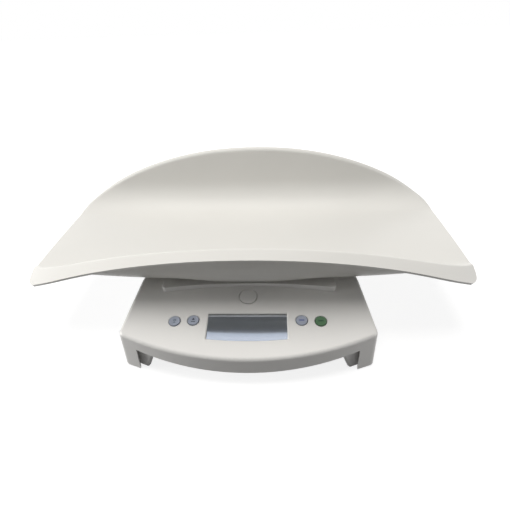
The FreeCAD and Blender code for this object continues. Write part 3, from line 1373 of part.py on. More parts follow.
def battery_leads():
    """Two leads from the front wall of the battery bay to their socket under the board."""
    parts = []
    floor = FLOOR_Z + LEAD_R + SEAT
    wall = BAY_Y0 - BAY_WALL
    for sx in (-1, 1):
        end = socket_side("battery", 0, 1)
        near = socket_side("battery", 0, 1, 8.0)
        x = 12.0 * sx
        pin = 3.0 * sx
        route = [(x, wall, floor + 5.6), (x, wall - 11, floor + 5.6), (x - 1.5 * sx, wall - 23, floor + 0.9),
                 (x, wall - 43, floor), (x - sx, wall - 68, floor + 2), (x - 4 * sx, wall - 86, floor + 8.6),
                 (pin + 1.5 * sx, near[1] + 10.6, near[2] - 0.5), (pin, near[1], near[2]), (pin, end[1], end[2])]
        parts.append(lead(route))
    return Part.makeCompound(parts)


# ---- build ----------------------------------------------------------------------------------
def main():
    os.makedirs("parts", exist_ok=True)
    check("upper_housing", upper_housing())
    check("lower_housing", lower_housing())
    check("housing_screws", housing_screws())
    check("display_window", display_window())
    check("lcd_glass", lcd_glass())
    check("lcd_holder", lcd_holder())
    check("lcd_contact_strips", lcd_contact_strips())
    check("main_board", main_board())
    check("board_components", board_components())
    check("board_sockets", board_sockets())
    check("board_screws", board_screw_set())
    check("key_mats", key_mats())
    for name, x, v in keys():
        check(name, key(x, v))
    check("release_button", release_button())
    check("latch_slider", latch_slider())
    check("latch_spring", latch_spring())
    check("latch_bracket", latch_bracket())
    check("bracket_screws", bracket_screw_set())
    check("latch_clip", latch_clip())
    check("tray_shell", tray_shell())
    check("tray_frame", tray_frame())
    check("tray_pads", tray_pads())
    check("tray_screws", tray_screws())
    check("catch_post", catch_post())
    for name, sx, sy in corners():
        check("load_cell_" + name, load_cell(sx, sy))
        check("foot_" + name, foot(sx, sy))
        check("foot_pad_" + name, foot_pad(sx, sy))
    check("load_cell_screws", load_cell_screws())
    check("foot_screws", foot_screws())
    check("battery_cells", battery_cells())
    check("battery_contacts", battery_contacts())
    check("battery_springs", battery_springs())
    check("battery_cover", battery_cover())
    check("sensor_leads", sensor_leads())
    check("battery_leads", battery_leads())


main()
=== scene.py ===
"""Digital baby weighing scale: finishes, studio and camera around its construction model.

Sizes are metres, and a value times MM is written in millimetres, as are those of the tray. +X is to
the user's right along the tray, +Y runs from the display panel to the tray's back wall, +Z is up,
and the floor is at z=0.
"""

import json
import math

import bpy
from mathutils import Matrix, Vector

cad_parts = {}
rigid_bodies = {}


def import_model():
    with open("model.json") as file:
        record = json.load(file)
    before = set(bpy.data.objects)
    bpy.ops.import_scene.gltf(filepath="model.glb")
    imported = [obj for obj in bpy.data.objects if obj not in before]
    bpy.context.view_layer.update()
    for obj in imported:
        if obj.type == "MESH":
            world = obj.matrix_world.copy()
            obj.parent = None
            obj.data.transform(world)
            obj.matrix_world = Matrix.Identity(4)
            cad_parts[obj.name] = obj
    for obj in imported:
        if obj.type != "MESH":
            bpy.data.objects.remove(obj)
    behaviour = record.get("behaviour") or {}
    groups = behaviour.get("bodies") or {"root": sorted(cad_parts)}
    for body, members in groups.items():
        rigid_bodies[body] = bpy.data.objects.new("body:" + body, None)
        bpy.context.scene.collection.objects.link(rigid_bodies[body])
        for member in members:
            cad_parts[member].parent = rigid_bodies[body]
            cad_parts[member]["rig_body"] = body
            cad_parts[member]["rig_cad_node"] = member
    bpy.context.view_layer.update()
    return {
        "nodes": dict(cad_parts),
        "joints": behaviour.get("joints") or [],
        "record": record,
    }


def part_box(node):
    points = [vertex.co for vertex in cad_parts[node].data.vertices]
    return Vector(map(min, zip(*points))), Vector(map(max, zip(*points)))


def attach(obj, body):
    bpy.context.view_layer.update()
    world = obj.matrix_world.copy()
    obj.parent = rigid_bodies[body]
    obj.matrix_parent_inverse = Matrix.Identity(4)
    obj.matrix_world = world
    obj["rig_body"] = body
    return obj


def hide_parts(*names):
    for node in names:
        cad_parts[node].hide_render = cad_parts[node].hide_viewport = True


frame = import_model()

MM = 0.001

# ---- sloped panel -----------------------------------------------------------------------------
PANEL_FRONT_Z = 40.5 * MM       # panel height at the foremost line
KEY_PROUD = 0.7 * MM            # key above the panel face
KEY_R = 6.9 * MM
KEY_DEPTH = 5.2 * MM            # down to the end of the key's stem
KEY_FLANGE_R = 9.2 * MM
KEY_FLANGE_TOP = 3.0 * MM       # below the panel face
KEY_FLANGE_T = 1.2 * MM
KEY_FACE = (                    # rounded rim and dish: millimetres in from the edge, and down
    (0.0, 0.55), (0.20, 0.15), (0.50, 0.0), (0.90, 0.05), (1.25, 0.32), (2.0, 0.40), (4.0, 0.50),
    (6.0, 0.54),
)
KEY_SIDES = 96
STEM_SIDES = 48
STEM_GAP = 0.03 * MM            # between the stem and the flange above it
KEY_SMOOTH_ANGLE = 30.0         # degrees
INK_T = 0.03 * MM               # thickness of the printed marks
INK_DEPTH = 0.50 * MM           # their underside, below the key's rim
FILM_LEAN = 0.036               # slope of the display's reflective film at its lower edge
FILM_CROWN = 0.35               # and how fast that slope falls, per metre
PAINTED_BAND_STARTS = (4.2 * MM, 2.2 * MM)    # display's pale band of painted highlight, between these distances from its far edge, with painted shade beyond
PAINTED_BAND_FADE = 0.1 * MM
HEAD_GAP = 0.4 * MM             # keys and button are drawn in by this much above their flanges
HEAD_DEPTH = 2.4 * MM           # down to this depth below the panel
HEAD_INNER = 0.9                # share of the head's radius that keeps its place

# ---- edges and meshes ---------------------------------------------------------------------------
EDGE = 0.25 * MM                # rounding of moulded edges
WINDOW_EDGE = 0.6 * MM
WELD = 0.001 * MM               # corners this close become one
FLAT_ANGLE = 0.5                # degrees: faces that meet flatter than this become one
BROKEN_ANGLE = 40.0             # edges sharper than this are rounded
SMOOTH_ANGLE = 35.0             # faces that meet flatter than this are shaded as one
NORMAL_WEIGHT = 60              # how far large faces lead the shading of rounded edges

# ---- tray -------------------------------------------------------------------------------------
# Millimetres and degrees; a pair holds the value at the middle and the one at the ends.
TRAY_HALF = 279.0               # half length over which the section changes
END_REACH = 280.0               # ends bow outwards in plan, most at END_BOW_Y,
END_BOW = 1.4                   # and fall back by this much
END_BOW_Y = 95.0
END_BOW_L = 100.0               # at this distance from it
TRAY_T = 3.0
TRAY_BOTTOM = 82.0              # underside of the bed at the middle
BED_RISE = 4.5                  # rise of the bed at the ends
BED_FLAT_HALF = 115.0
FRONT_ARC_R = 25.0              # arc between bed and front wall
FRONT_ARC_Y = -55.9             # where it meets the bed at the middle
FRONT_PLAN_R = 2170.0           # its sweep in plan
FRONT_LEAN = 80.8
FRONT_WALL_MIN = 2.0            # least straight wall between that arc and the crest
CREST_Z = 143.3
CREST_DROP = 52.3               # fall of the crest at the ends, growing with this power
CREST_POWER = 2.11
CREST_R = 6.0
LIP_W = (21.5, 27.0)
LIP_SLOPE = (18.0, 20.0)
LIP_CORNER = 13.0               # corner radii in plan
RIM_CORNER = 10.0
KEEL_DROP = 3.2                 # bulge of the underside over the platform
KEEL_HALF = 25.0                # half length that it keeps in full
KEEL_BLEND = 75.0               # and over which it then fades out
KEEL_FADE = 22.0                # degrees of the front arc over which it fades
KEEL_TOP = 110.0                # height that it stays below
BACK_Y = 154.7                  # face of the back wall at BACK_REF_Z
BACK_REF_Z = 180.0
BACK_LEAN = 87.1
BACK_ARC_R = 44.0
RIM_Z = 177.4                   # top of the rim at the middle
RIM_FALL = 8.5                  # fall of the rim at 100 mm from the middle, growing with this power
RIM_POWER = 2.2
RIM_ROLL_R = 3.2
RIM_LEAST = 2.0                 # least height of the rim above the bed
RIM_TURN = 75.0                 # most that the rim rolls over
HALVINGS = 40                   # of the range in which a low front wall's turn is sought
LIP_STEPS = 5                   # steps along the section
LIP_CROWDING = 1.8              # steps crowd towards the lip's edge
CREST_STEPS = 5
FRONT_STEPS = 4
ARC_STEPS = 6
BED_STEPS = 8
BACK_STEPS = 14
RIM_STEPS = 4
TRAY_STATIONS = 17
STATION_CROWDING = 0.8          # stations crowd towards the ends as this nears 1
SHELL_SUBDIVISION = 3
RIM_EDGE = 0.9                  # rounding of the shell's edges
RIM_EDGE_STEPS = 3
RIM_ANGLE = 50.0                # edges sharper than this are rounded
SHELL_SMOOTH_ANGLE = 40.0

# ---- studio -----------------------------------------------------------------------------------
CAMERA_LENS = 28.73             # millimetres
CAMERA_SENSOR = 36.0
CAMERA_NEAR = 0.01
CAMERA_DISTANCE = 0.568
CAMERA_PITCH = 31.8             # degrees below the horizon
CAMERA_YAW = -3.0
CAMERA_ROLL = -2.0
CAMERA_TARGET = (0.0060, 0.00385, 0.0745)
UNSEEN_SKY = (0.15, 0.15, 0.155)    # what the sky adds to the light on the object
UNSEEN_FLOOR = 0.15             # floor's colour as it lights the object
SEEN_FLOOR = 0.35               # and as it is seen, under its own glow
FLOOR_GLOW = 0.82
FLOOR_RISE = (0.35, 1.0)        # glow rises to white between these distances
FLOOR_SIZE = 12.0
LAMPS = (                       # name, place, aim, size, power, colour, mirrored
    ("top_softbox", (-0.15, -0.02, 1.45), (0, 0, 0.1), (1.1, 1.0), 19.0, (1, 0.985, 0.965), False),
    ("left_fill", (-1.95, -0.15, 0.4), (0, -0.05, 0.05), (0.9, 0.9), 27.0, (1, 1, 1), True),
    ("right_fill", (1.95, -0.3, 0.4), (0, -0.05, 0.05), (0.9, 0.9), 10.5, (1, 1, 1), True),
    ("back_fill", (0.2, 2.0, 0.55), (0, 0.1, 0.08), (1.2, 0.9), 18.0, (1, 1, 1), False),
)


# ---- hand tools -------------------------------------------------------------------------------
def clear_selection():
    bpy.ops.object.select_all(action="DESELECT")


def only(obj):
    """Selects obj alone and makes it active."""
    clear_selection()
    obj.select_set(True)
    bpy.context.view_layer.objects.active = obj


def named(name):
    """Gives the new primitive its name."""
    obj = bpy.context.object
    obj.name = name
    obj.data.name = name
    return obj


def edit(obj):
    """Opens the mesh for editing, with all of it selected."""
    only(obj)
    bpy.ops.object.mode_set(mode="EDIT")
    bpy.ops.mesh.select_all(action="SELECT")


def leave_edit():
    bpy.ops.object.mode_set(mode="OBJECT")


def finish_with(obj, kind, **settings):
    """Adds a modifier with its settings and applies it."""
    only(obj)
    modifier = obj.modifiers.new(kind.lower(), kind)
    for key, value in settings.items():
        setattr(modifier, key, value)
    bpy.ops.object.modifier_apply(modifier=modifier.name)


def settle(obj, matrix=None):
    """Puts the object's place into its mesh, so that it sits at the origin."""
    only(obj)
    bpy.ops.object.transform_apply(location=True, rotation=True, scale=True)
    if matrix is not None:
        obj.data.transform(matrix)


def face_outwards():
    """Turns the faces of the mesh being edited outwards."""
    bpy.ops.mesh.select_all(action="SELECT")
    bpy.ops.mesh.normals_make_consistent(inside=False)


def smooth(obj, degrees=SMOOTH_ANGLE):
    """Shades faces that meet flatter than this as one."""
    only(obj)
    bpy.ops.object.shade_smooth_by_angle(angle=math.radians(degrees))
    finish_with(obj, "WEIGHTED_NORMAL", keep_sharp=True, weight=NORMAL_WEIGHT)


def joined(pieces):
    """Joins pieces into the first of them."""
    clear_selection()
    for piece in pieces:
        piece.select_set(True)
    bpy.context.view_layer.objects.active = pieces[0]
    bpy.ops.object.join()
    return pieces[0]


def turned(name, rings, sides):
    """Body of revolution about Z: a disc extruded ring by ring, each ring a radius and a height."""
    clear_selection()
    radius, height = rings[0]
    bpy.ops.mesh.primitive_circle_add(vertices=sides, radius=radius, fill_type="NGON",
                                      location=(0, 0, height))
    obj = named(name)
    settle(obj)
    edit(obj)
    for r, z in rings[1:]:
        bpy.ops.mesh.extrude_region_move(TRANSFORM_OT_translate={"value": (0, 0, z - height)})
        bpy.ops.transform.resize(value=(r / radius, r / radius, 1), center_override=(0, 0, z))
        radius, height = r, z
    face_outwards()
    leave_edit()
    return obj


def stand_in_for(piece, body, slot, *nodes):
    """Makes piece ride on body, in the place of any nodes named."""
    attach(piece, body)
    if nodes:
        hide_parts(*nodes)


# ---- frame of the sloped panel ------------------------------------------------------------------
def joint(name):
    return next(j for j in frame["joints"] if j["name"] == name)


press = Vector(joint("start_key_press")["axis"])
PANEL_TILT = math.atan2(press.y, -press.z)
PANEL_FRONT_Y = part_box("upper_housing")[0].y


def panel(x, v, w=0.0):
    """Matrix from the panel's own frame, v up the slope and w out of it, to a piece's place."""
    origin = Matrix.Translation((0, PANEL_FRONT_Y, PANEL_FRONT_Z))
    return origin @ Matrix.Rotation(PANEL_TILT, 4, "X") @ Matrix.Translation((x, v, w))


def panel_place(node, depth):
    """x and v of a round piece from its box; its widest ring lies at that depth in the panel."""
    low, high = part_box(node)
    middle = (low + high) / 2
    along = middle.y - PANEL_FRONT_Y - depth * math.sin(PANEL_TILT)
    return middle.x, along / math.cos(PANEL_TILT)


# ---- shader groups ------------------------------------------------------------------------------
def new_group(name, inputs, outputs):
    """Empty shader group: (name, socket type, default) goes in, (name, socket type) comes out."""
    group = bpy.data.node_groups.new(name, "ShaderNodeTree")
    for label, kind, default in inputs:
        socket = group.interface.new_socket(name=label, in_out="INPUT", socket_type=kind)
        if default is not None:
            socket.default_value = default
    for label, kind in outputs:
        group.interface.new_socket(name=label, in_out="OUTPUT", socket_type=kind)
    return group, group.nodes.new("NodeGroupInput"), group.nodes.new("NodeGroupOutput")


def put(tree, kind, links=None, **settings):
    """Adds a node, sets its properties or inputs by name, and links sockets into it."""
    node = tree.nodes.new(kind)
    for key, value in settings.items():
        if hasattr(node, key):
            setattr(node, key, value)
        else:
            node.inputs[key.replace("_", " ")].default_value = value
    for key, source in (links or {}).items():
        tree.links.new(source, node.inputs[key])
    return node


def maths(tree, operation, a, b, clamp=False):
    """Sum, product and so on of two values, each a number or a socket."""
    node = tree.nodes.new("ShaderNodeMath")
    node.operation = operation
    node.use_clamp = clamp
    for socket, value in zip(node.inputs, (a, b)):
        if isinstance(value, (int, float)):
            socket.default_value = value
        else:
            tree.links.new(value, socket)
    return node.outputs[0]


def mixed(tree, factor, a, b):
    """Colour a where factor is 0 and b where it is 1."""
    node = tree.nodes.new("ShaderNodeMix")
    node.data_type = "RGBA"
    for socket, value in ((node.inputs[0], factor), (node.inputs[6], a), (node.inputs[7], b)):
        if isinstance(value, (int, float, tuple)):
            socket.default_value = value
        else:
            tree.links.new(value, socket)
    return node.outputs[2]


def ramp(tree, source, low, high):
    """0 to 1 while source goes from low to high."""
    node = put(tree, "ShaderNodeMapRange", {"Value": source}, From_Min=low, From_Max=high)
    return node.outputs[0]


def noise(tree, place, scale, detail, roughness=0.5):
    node = put(tree, "ShaderNodeTexNoise", {"Vector": place}, Scale=scale, Detail=detail,
               Roughness=roughness)
    return node.outputs["Fac"]


COLOUR, VALUE, VECTOR = "NodeSocketColor", "NodeSocketFloat", "NodeSocketVector"
GREY = (0.8, 0.8, 0.8, 1)


def mould_grain_group():
    """Fine spark-eroded grain with a slow tone drift, as on moulded plastic."""
    group, came, goes = new_group(
        "mould_grain",
        [("Vector", VECTOR, None), ("Grain Scale", VALUE, 1500.0), ("Drift Scale", VALUE, 9.0)],
        [("Height", VALUE), ("Tone", VALUE)])
    sockets = came.outputs
    grain = put(group, "ShaderNodeTexNoise",
                {"Vector": sockets["Vector"], "Scale": sockets["Grain Scale"]},
                Detail=2.0, Roughness=0.55)
    drift = put(group, "ShaderNodeTexNoise",
                {"Vector": sockets["Vector"], "Scale": sockets["Drift Scale"]}, Detail=3.0)
    group.links.new(grain.outputs["Fac"], goes.inputs["Height"])
    group.links.new(ramp(group, drift.outputs["Fac"], 0.3, 0.7), goes.inputs["Tone"])
    return group


def edge_wear_and_highlight_group():
    """Lightens or darkens the outer edges, broken up by noise: wear on most pieces, and a painted
    highlight on the keys' rims.
    """
    group, came, goes = new_group(
        "edge_wear_and_highlight",
        [("Vector", VECTOR, None), ("Colour", COLOUR, GREY), ("Edge Colour", COLOUR, (1, 1, 1, 1)),
         ("Radius", VALUE, 0.0012), ("Amount", VALUE, 0.3)],
        [("Colour", COLOUR)])
    rounded = put(group, "ShaderNodeBevel", {"Radius": came.outputs["Radius"]}, samples=4)
    true_normal = group.nodes.new("ShaderNodeNewGeometry").outputs["Normal"]
    dot = put(group, "ShaderNodeVectorMath", {0: rounded.outputs[0], 1: true_normal},
              operation="DOT_PRODUCT")
    edge = ramp(group, dot.outputs["Value"], 0.995, 0.86)
    breakup = ramp(group, noise(group, came.outputs["Vector"], 140.0, 4.0), 0.35, 0.65)
    mask = maths(group, "MULTIPLY", edge, breakup, clamp=True)
    mask = maths(group, "MULTIPLY", mask, came.outputs["Amount"], clamp=True)
    colour = mixed(group, mask, came.outputs["Colour"], came.outputs["Edge Colour"])
    group.links.new(colour, goes.inputs["Colour"])
    return group


def dust_group():
    """Thin dust on upward faces, in soft patches."""
    group, came, goes = new_group(
        "dust",
        [("Vector", VECTOR, None), ("Colour", COLOUR, GREY),
         ("Dust Colour", COLOUR, (0.55, 0.53, 0.5, 1)), ("Amount", VALUE, 0.05)],
        [("Colour", COLOUR), ("Mask", VALUE)])
    place = came.outputs["Vector"]
    normal = group.nodes.new("ShaderNodeNewGeometry").outputs["Normal"]
    upright = put(group, "ShaderNodeSeparateXYZ", {0: normal})
    facing = ramp(group, upright.outputs["Z"], 0.2, 0.95)
    patches = ramp(group, noise(group, place, 35.0, 6.0, 0.65), 0.45, 0.75)
    specks = ramp(group, noise(group, place, 900.0, 2.0), 0.4, 0.7)
    cover = maths(group, "MULTIPLY", patches, specks, clamp=True)
    mask = maths(group, "MULTIPLY", maths(group, "MULTIPLY", cover, facing),
                 came.outputs["Amount"], clamp=True)
    colour = mixed(group, mask, came.outputs["Colour"], came.outputs["Dust Colour"])
    group.links.new(colour, goes.inputs["Colour"])
    group.links.new(mask, goes.inputs["Mask"])
    return group


GRAIN = mould_grain_group()
WEAR_AND_HIGHLIGHT = edge_wear_and_highlight_group()
DUST = dust_group()


# ---- materials ----------------------------------------------------------------------------------
TONE_DRIFT = 0.03               # share by which a moulding's tone falls in places
HOUSING_WHITE = (0.72, 0.71, 0.685)
FILM_DARK = (0.61, 0.635, 0.725)
FILM_LIGHT = (0.67, 0.695, 0.785)
# pale band painted on the display film as the highlight of the window's bevel, and black band
# painted beyond it as the shadow of the recess's edge
PAINTED_HIGHLIGHT_PALE = (0.78, 0.76, 0.78)
PAINTED_SHADE_BLACK = (0.02, 0.02, 0.02)
SLEEVE_DARK = (0.05, 0.06, 0.08)
SLEEVE_LIGHT = (0.10, 0.11, 0.14)


def new_material(name):
    """Material, its tree, its shader and the socket of Object coordinates."""
    material = bpy.data.materials.new(name)
    material.use_nodes = True
    tree = material.node_tree
    shader = tree.nodes["Principled BSDF"]
    place = tree.nodes.new("ShaderNodeTexCoord").outputs["Object"]
    return material, tree, shader, place


def use(tree, group, links, **values):
    """Places a shader group with its own values."""
    node = tree.nodes.new("ShaderNodeGroup")
    node.node_tree = group
    for key, value in values.items():
        node.inputs[key.replace("_", " ")].default_value = value
    for key, source in links.items():
        tree.links.new(source, node.inputs[key])
    return node


def shade(colour, times=1.0, plus=0.0):
    """Opaque colour, made darker or lighter."""
    return tuple(min(1.0, c * times + plus) for c in colour) + (1.0,)


def plain(shader, **values):
    """Sets uniform values on the shader's own sockets."""
    for key, value in values.items():
        shader.inputs[key.replace("_", " ")].default_value = value


def raised(tree, shader, height, strength, distance):
    """Bumps the surface by a height that changes over it."""
    bump = put(tree, "ShaderNodeBump", {"Height": height}, Strength=strength, Distance=distance)
    tree.links.new(bump.outputs[0], shader.inputs["Normal"])


def moulded(name, colour, roughness, grain=0.10, edge=0.25, coat=0.0):
    """Moulded plastic: a slow tone drift, a fine grain, edges lightened as wear or as a painted
    highlight, and a little dust.
    """
    material, tree, shader, place = new_material(name)
    skin = use(tree, GRAIN, {"Vector": place})
    drifted = mixed(tree, skin.outputs["Tone"], shade(colour, 1.0 - TONE_DRIFT), shade(colour))
    # edges lightened here: wear, and on the keys a painted highlight
    worn = use(tree, WEAR_AND_HIGHLIGHT, {"Vector": place, "Colour": drifted},
               Edge_Colour=shade(colour, 1.12, 0.03), Amount=edge)
    dusty = use(tree, DUST, {"Vector": place, "Colour": worn.outputs["Colour"]}, Amount=0.04)
    tree.links.new(dusty.outputs["Colour"], shader.inputs["Base Color"])
    drift = maths(tree, "MULTIPLY", skin.outputs["Tone"], -0.05)
    rough = maths(tree, "ADD", drift, roughness + 0.025)
    matt = maths(tree, "MULTIPLY", dusty.outputs["Mask"], 0.6)
    tree.links.new(maths(tree, "ADD", rough, matt, clamp=True), shader.inputs["Roughness"])
    raised(tree, shader, skin.outputs["Height"], grain, 0.00005)
    plain(shader, Coat_Weight=coat, Coat_Roughness=0.2, IOR=1.5)
    return material


def metal(name, colour, roughness, brush=0.0, stretch=(1.0, 1.0, 1.0)):
    """Plated or drawn metal with fine lines and slight staining."""
    material, tree, shader, place = new_material(name)
    mapped = put(tree, "ShaderNodeMapping", {"Vector": place}, Scale=stretch)
    lines = noise(tree, mapped.outputs[0], 1800.0, 3.0)
    stain = ramp(tree, noise(tree, place, 60.0, 4.0), 0.4, 0.7)
    toned = mixed(tree, stain, shade(colour), shade(colour, 0.8))
    worn = use(tree, WEAR_AND_HIGHLIGHT, {"Vector": place, "Colour": toned},
               Edge_Colour=(0.9, 0.9, 0.9, 1), Amount=0.4, Radius=0.0004)
    tree.links.new(worn.outputs["Colour"], shader.inputs["Base Color"])
    rough = maths(tree, "ADD", maths(tree, "MULTIPLY", lines, 0.16), roughness - 0.08, clamp=True)
    tree.links.new(rough, shader.inputs["Roughness"])
    raised(tree, shader, lines, 0.05 + brush, 0.00002)
    plain(shader, Metallic=1.0)
    return material


def soft_rubber(name, colour, roughness=0.75):
    """Matt rubber with a pebbled skin and pale bloom."""
    material, tree, shader, place = new_material(name)
    pebbles = put(tree, "ShaderNodeTexVoronoi", {"Vector": place}, Scale=1400.0)
    bloom = ramp(tree, noise(tree, place, 70.0, 5.0), 0.45, 0.75)
    toned = mixed(tree, bloom, shade(colour), shade(colour, plus=0.05))
    dusty = use(tree, DUST, {"Vector": place, "Colour": toned}, Amount=0.15)
    tree.links.new(dusty.outputs["Colour"], shader.inputs["Base Color"])
    raised(tree, shader, pebbles.outputs["Distance"], 0.25, 0.0001)
    plain(shader, Roughness=roughness)
    return material


def clear_window(name):
    """Clear moulded window with a faint smear in its gloss."""
    material, tree, shader, place = new_material(name)
    smear = ramp(tree, noise(tree, place, 45.0, 5.0), 0.4, 0.8)
    tree.links.new(maths(tree, "MULTIPLY", smear, 0.05), shader.inputs["Roughness"])
    plain(shader, Base_Color=(0.90, 0.93, 0.95, 1), Transmission_Weight=1.0, IOR=1.49)
    return material


def display_glass(name):
    """Grey film that mirrors what is above it, with a pale band of painted highlight where the
    window's bevel catches light, and a black band of painted shade beyond it where the recess
    shades the edge.
    """
    material, tree, shader, place = new_material(name)
    low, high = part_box("lcd_glass")
    film = noise(tree, place, 2600.0, 1.0)
    toned = mixed(tree, ramp(tree, film, 0.3, 0.7), shade(FILM_DARK), shade(FILM_LIGHT))
    across = put(tree, "ShaderNodeSeparateXYZ", {0: place}).outputs["Y"]
    along = maths(tree, "SUBTRACT", across, low.y)
    starts = (high.y - low.y - inset for inset in PAINTED_BAND_STARTS)
    # painted highlight band, then painted shade band at the display's far edge
    painted_highlight, painted_shade = (ramp(tree, along, start, start + PAINTED_BAND_FADE) for start in starts)
    toned = mixed(tree, painted_highlight, toned, shade(PAINTED_HIGHLIGHT_PALE))
    toned = mixed(tree, painted_shade, toned, shade(PAINTED_SHADE_BLACK))
    tree.links.new(toned, shader.inputs["Base Color"])
    tree.links.new(maths(tree, "SUBTRACT", 1.0, painted_highlight), shader.inputs["Metallic"])
    rough = maths(tree, "ADD", maths(tree, "MULTIPLY", film, 0.05), 0.07)
    rough = maths(tree, "ADD", rough, maths(tree, "MULTIPLY", painted_highlight, 0.4))
    tree.links.new(rough, shader.inputs["Roughness"])
    slope = maths(tree, "SUBTRACT", FILM_LEAN, maths(tree, "MULTIPLY", along, FILM_CROWN / 2))
    raised(tree, shader, maths(tree, "MULTIPLY", along, slope), 1.0, 1.0)
    return material


def printed(name, colour):
    """Screen-printed ink, with a slightly uneven coat."""
    material, tree, shader, place = new_material(name)
    coat = ramp(tree, noise(tree, place, 900.0, 3.0), 0.45, 0.8)
    toned = mixed(tree, coat, shade(colour), shade(colour, 1.3, 0.02))
    tree.links.new(toned, shader.inputs["Base Color"])
    plain(shader, Roughness=0.45)
    return material


def circuit_board(name):
    """Green solder mask over copper tracks."""
    material, tree, shader, place = new_material(name)
    tracks = put(tree, "ShaderNodeTexBrick", {"Vector": place}, Scale=110.0,
                 Color1=(0.03, 0.22, 0.08, 1), Color2=(0.03, 0.18, 0.07, 1),
                 Mortar=(0.10, 0.32, 0.12, 1), Mortar_Size=0.03)
    tree.links.new(tracks.outputs["Color"], shader.inputs["Base Color"])
    raised(tree, shader, tracks.outputs["Fac"], 0.2, 0.00003)
    plain(shader, Roughness=0.3)
    return material


def cell_sleeve(name):
    """Dark shrunk sleeve of a dry cell, wrinkled and worn at its edges."""
    material, tree, shader, place = new_material(name)
    wrinkles = noise(tree, place, 260.0, 4.0)
    toned = mixed(tree, ramp(tree, wrinkles, 0.35, 0.7), shade(SLEEVE_DARK), shade(SLEEVE_LIGHT))
    worn = use(tree, WEAR_AND_HIGHLIGHT, {"Vector": place, "Colour": toned},
               Edge_Colour=(0.6, 0.6, 0.6, 1), Amount=0.5)
    tree.links.new(worn.outputs["Colour"], shader.inputs["Base Color"])
    raised(tree, shader, wrinkles, 0.15, 0.0001)
    plain(shader, Roughness=0.28)
    return material


def make_materials():
    """One material for each of the record's slots."""
    return {
        "housing": moulded("housing_white", HOUSING_WHITE, 0.42),
        "housing_lower": moulded("lower_housing_white", (0.66, 0.65, 0.63), 0.5),
        "tray": moulded("tray_white", (0.68, 0.67, 0.635), 0.36, grain=0.06, coat=0.08),
        # the keys' larger edge amount paints a light rim, a painted highlight where their rounded
        # rims catch the light
        "key_grey": moulded("key_grey_blue", (0.33, 0.36, 0.43), 0.4, edge=0.5),
        "key_green": moulded("key_green", (0.08, 0.165, 0.085), 0.4, edge=0.5),
        "button": moulded("button_white", HOUSING_WHITE, 0.42),
        "window": clear_window("window_clear"),
        "lcd": display_glass("display_film"),
        "inner_plastic": moulded("inner_grey", (0.36, 0.36, 0.37), 0.5),
        "contact_rubber": soft_rubber("contact_rubber", (0.12, 0.12, 0.13)),
        "board": circuit_board("board_green"),
        "components": moulded("component_black", (0.03, 0.03, 0.035), 0.45),
        "sockets": moulded("socket_ivory", (0.68, 0.62, 0.45), 0.45),
        "silicone": soft_rubber("silicone_grey", (0.42, 0.43, 0.43), 0.5),
        "screw_steel": metal("screw_zinc", (0.62, 0.63, 0.62), 0.32),
        "spring_steel": metal("spring_wire", (0.5, 0.5, 0.5), 0.3),
        "cell_steel": metal("load_cell_steel", (0.56, 0.56, 0.55), 0.38, brush=0.05,
                            stretch=(1, 12, 12)),
        "pad_rubber": soft_rubber("pad_rubber", (0.035, 0.035, 0.037)),
        "cell_wrap": cell_sleeve("cell_sleeve"),
        "contact_metal": metal("contact_nickel", (0.68, 0.66, 0.6), 0.22),
        "lead": moulded("lead_sheath", (0.2, 0.2, 0.21), 0.5),
    }


# ---- construction nodes that keep their shape --------------------------------------------------
def paint(obj, material):
    obj.data.materials.clear()
    obj.data.materials.append(material)


def paint_construction(materials):
    """Gives each construction node the finish of its slot."""
    for row in frame["record"]["subparts"]:
        obj = frame["nodes"][row["node"]]
        paint(obj, materials[row["material_slot"]])


def body_of(node):
    bodies = frame["record"]["behaviour"]["bodies"]
    return next(name for name, members in bodies.items() if node in members)


def slot_of(node):
    return next(row["material_slot"] for row in frame["record"]["subparts"] if row["node"] == node)


def dressed(node, materials, edge=EDGE, steps=2):
    """Copy of a moulded or pressed node with its sharp edges broken and its faces smooth."""
    source = frame["nodes"][node]
    piece = source.copy()
    piece.data = source.data.copy()
    piece.name = node + "_finished"
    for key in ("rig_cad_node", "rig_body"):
        if key in piece:
            del piece[key]
    piece.parent = None
    bpy.context.scene.collection.objects.link(piece)
    edit(piece)
    bpy.ops.mesh.remove_doubles(threshold=WELD)
    bpy.ops.mesh.dissolve_limited(angle_limit=math.radians(FLAT_ANGLE))
    leave_edit()
    finish_with(piece, "BEVEL", width=edge, segments=steps, limit_method="ANGLE",
                angle_limit=math.radians(BROKEN_ANGLE))
    smooth(piece)
    paint(piece, materials[slot_of(node)])
    stand_in_for(piece, body_of(node), slot_of(node), node)
    return piece


def slim_head(piece):
    """Draws the round head of a panel piece in towards its own axis, so that its gap shows."""
    out_of = panel(0.0, 0.0)
    into = out_of.inverted()
    head = [(vertex, into @ vertex.co) for vertex in piece.data.vertices]
    head = [(vertex, at) for vertex, at in head if at.z > -HEAD_DEPTH]
    xs, vs = [at.x for _, at in head], [at.y for _, at in head]
    x, v = (min(xs) + max(xs)) / 2, (min(vs) + max(vs)) / 2
    radius = (max(xs) - min(xs)) / 2
    for vertex, at in head:
        reach = math.hypot(at.x - x, at.y - v)
        if reach > HEAD_INNER * radius:
            slim = 1 - HEAD_GAP / reach
            vertex.co = out_of @ Vector((x + (at.x - x) * slim, v + (at.y - v) * slim, at.z))


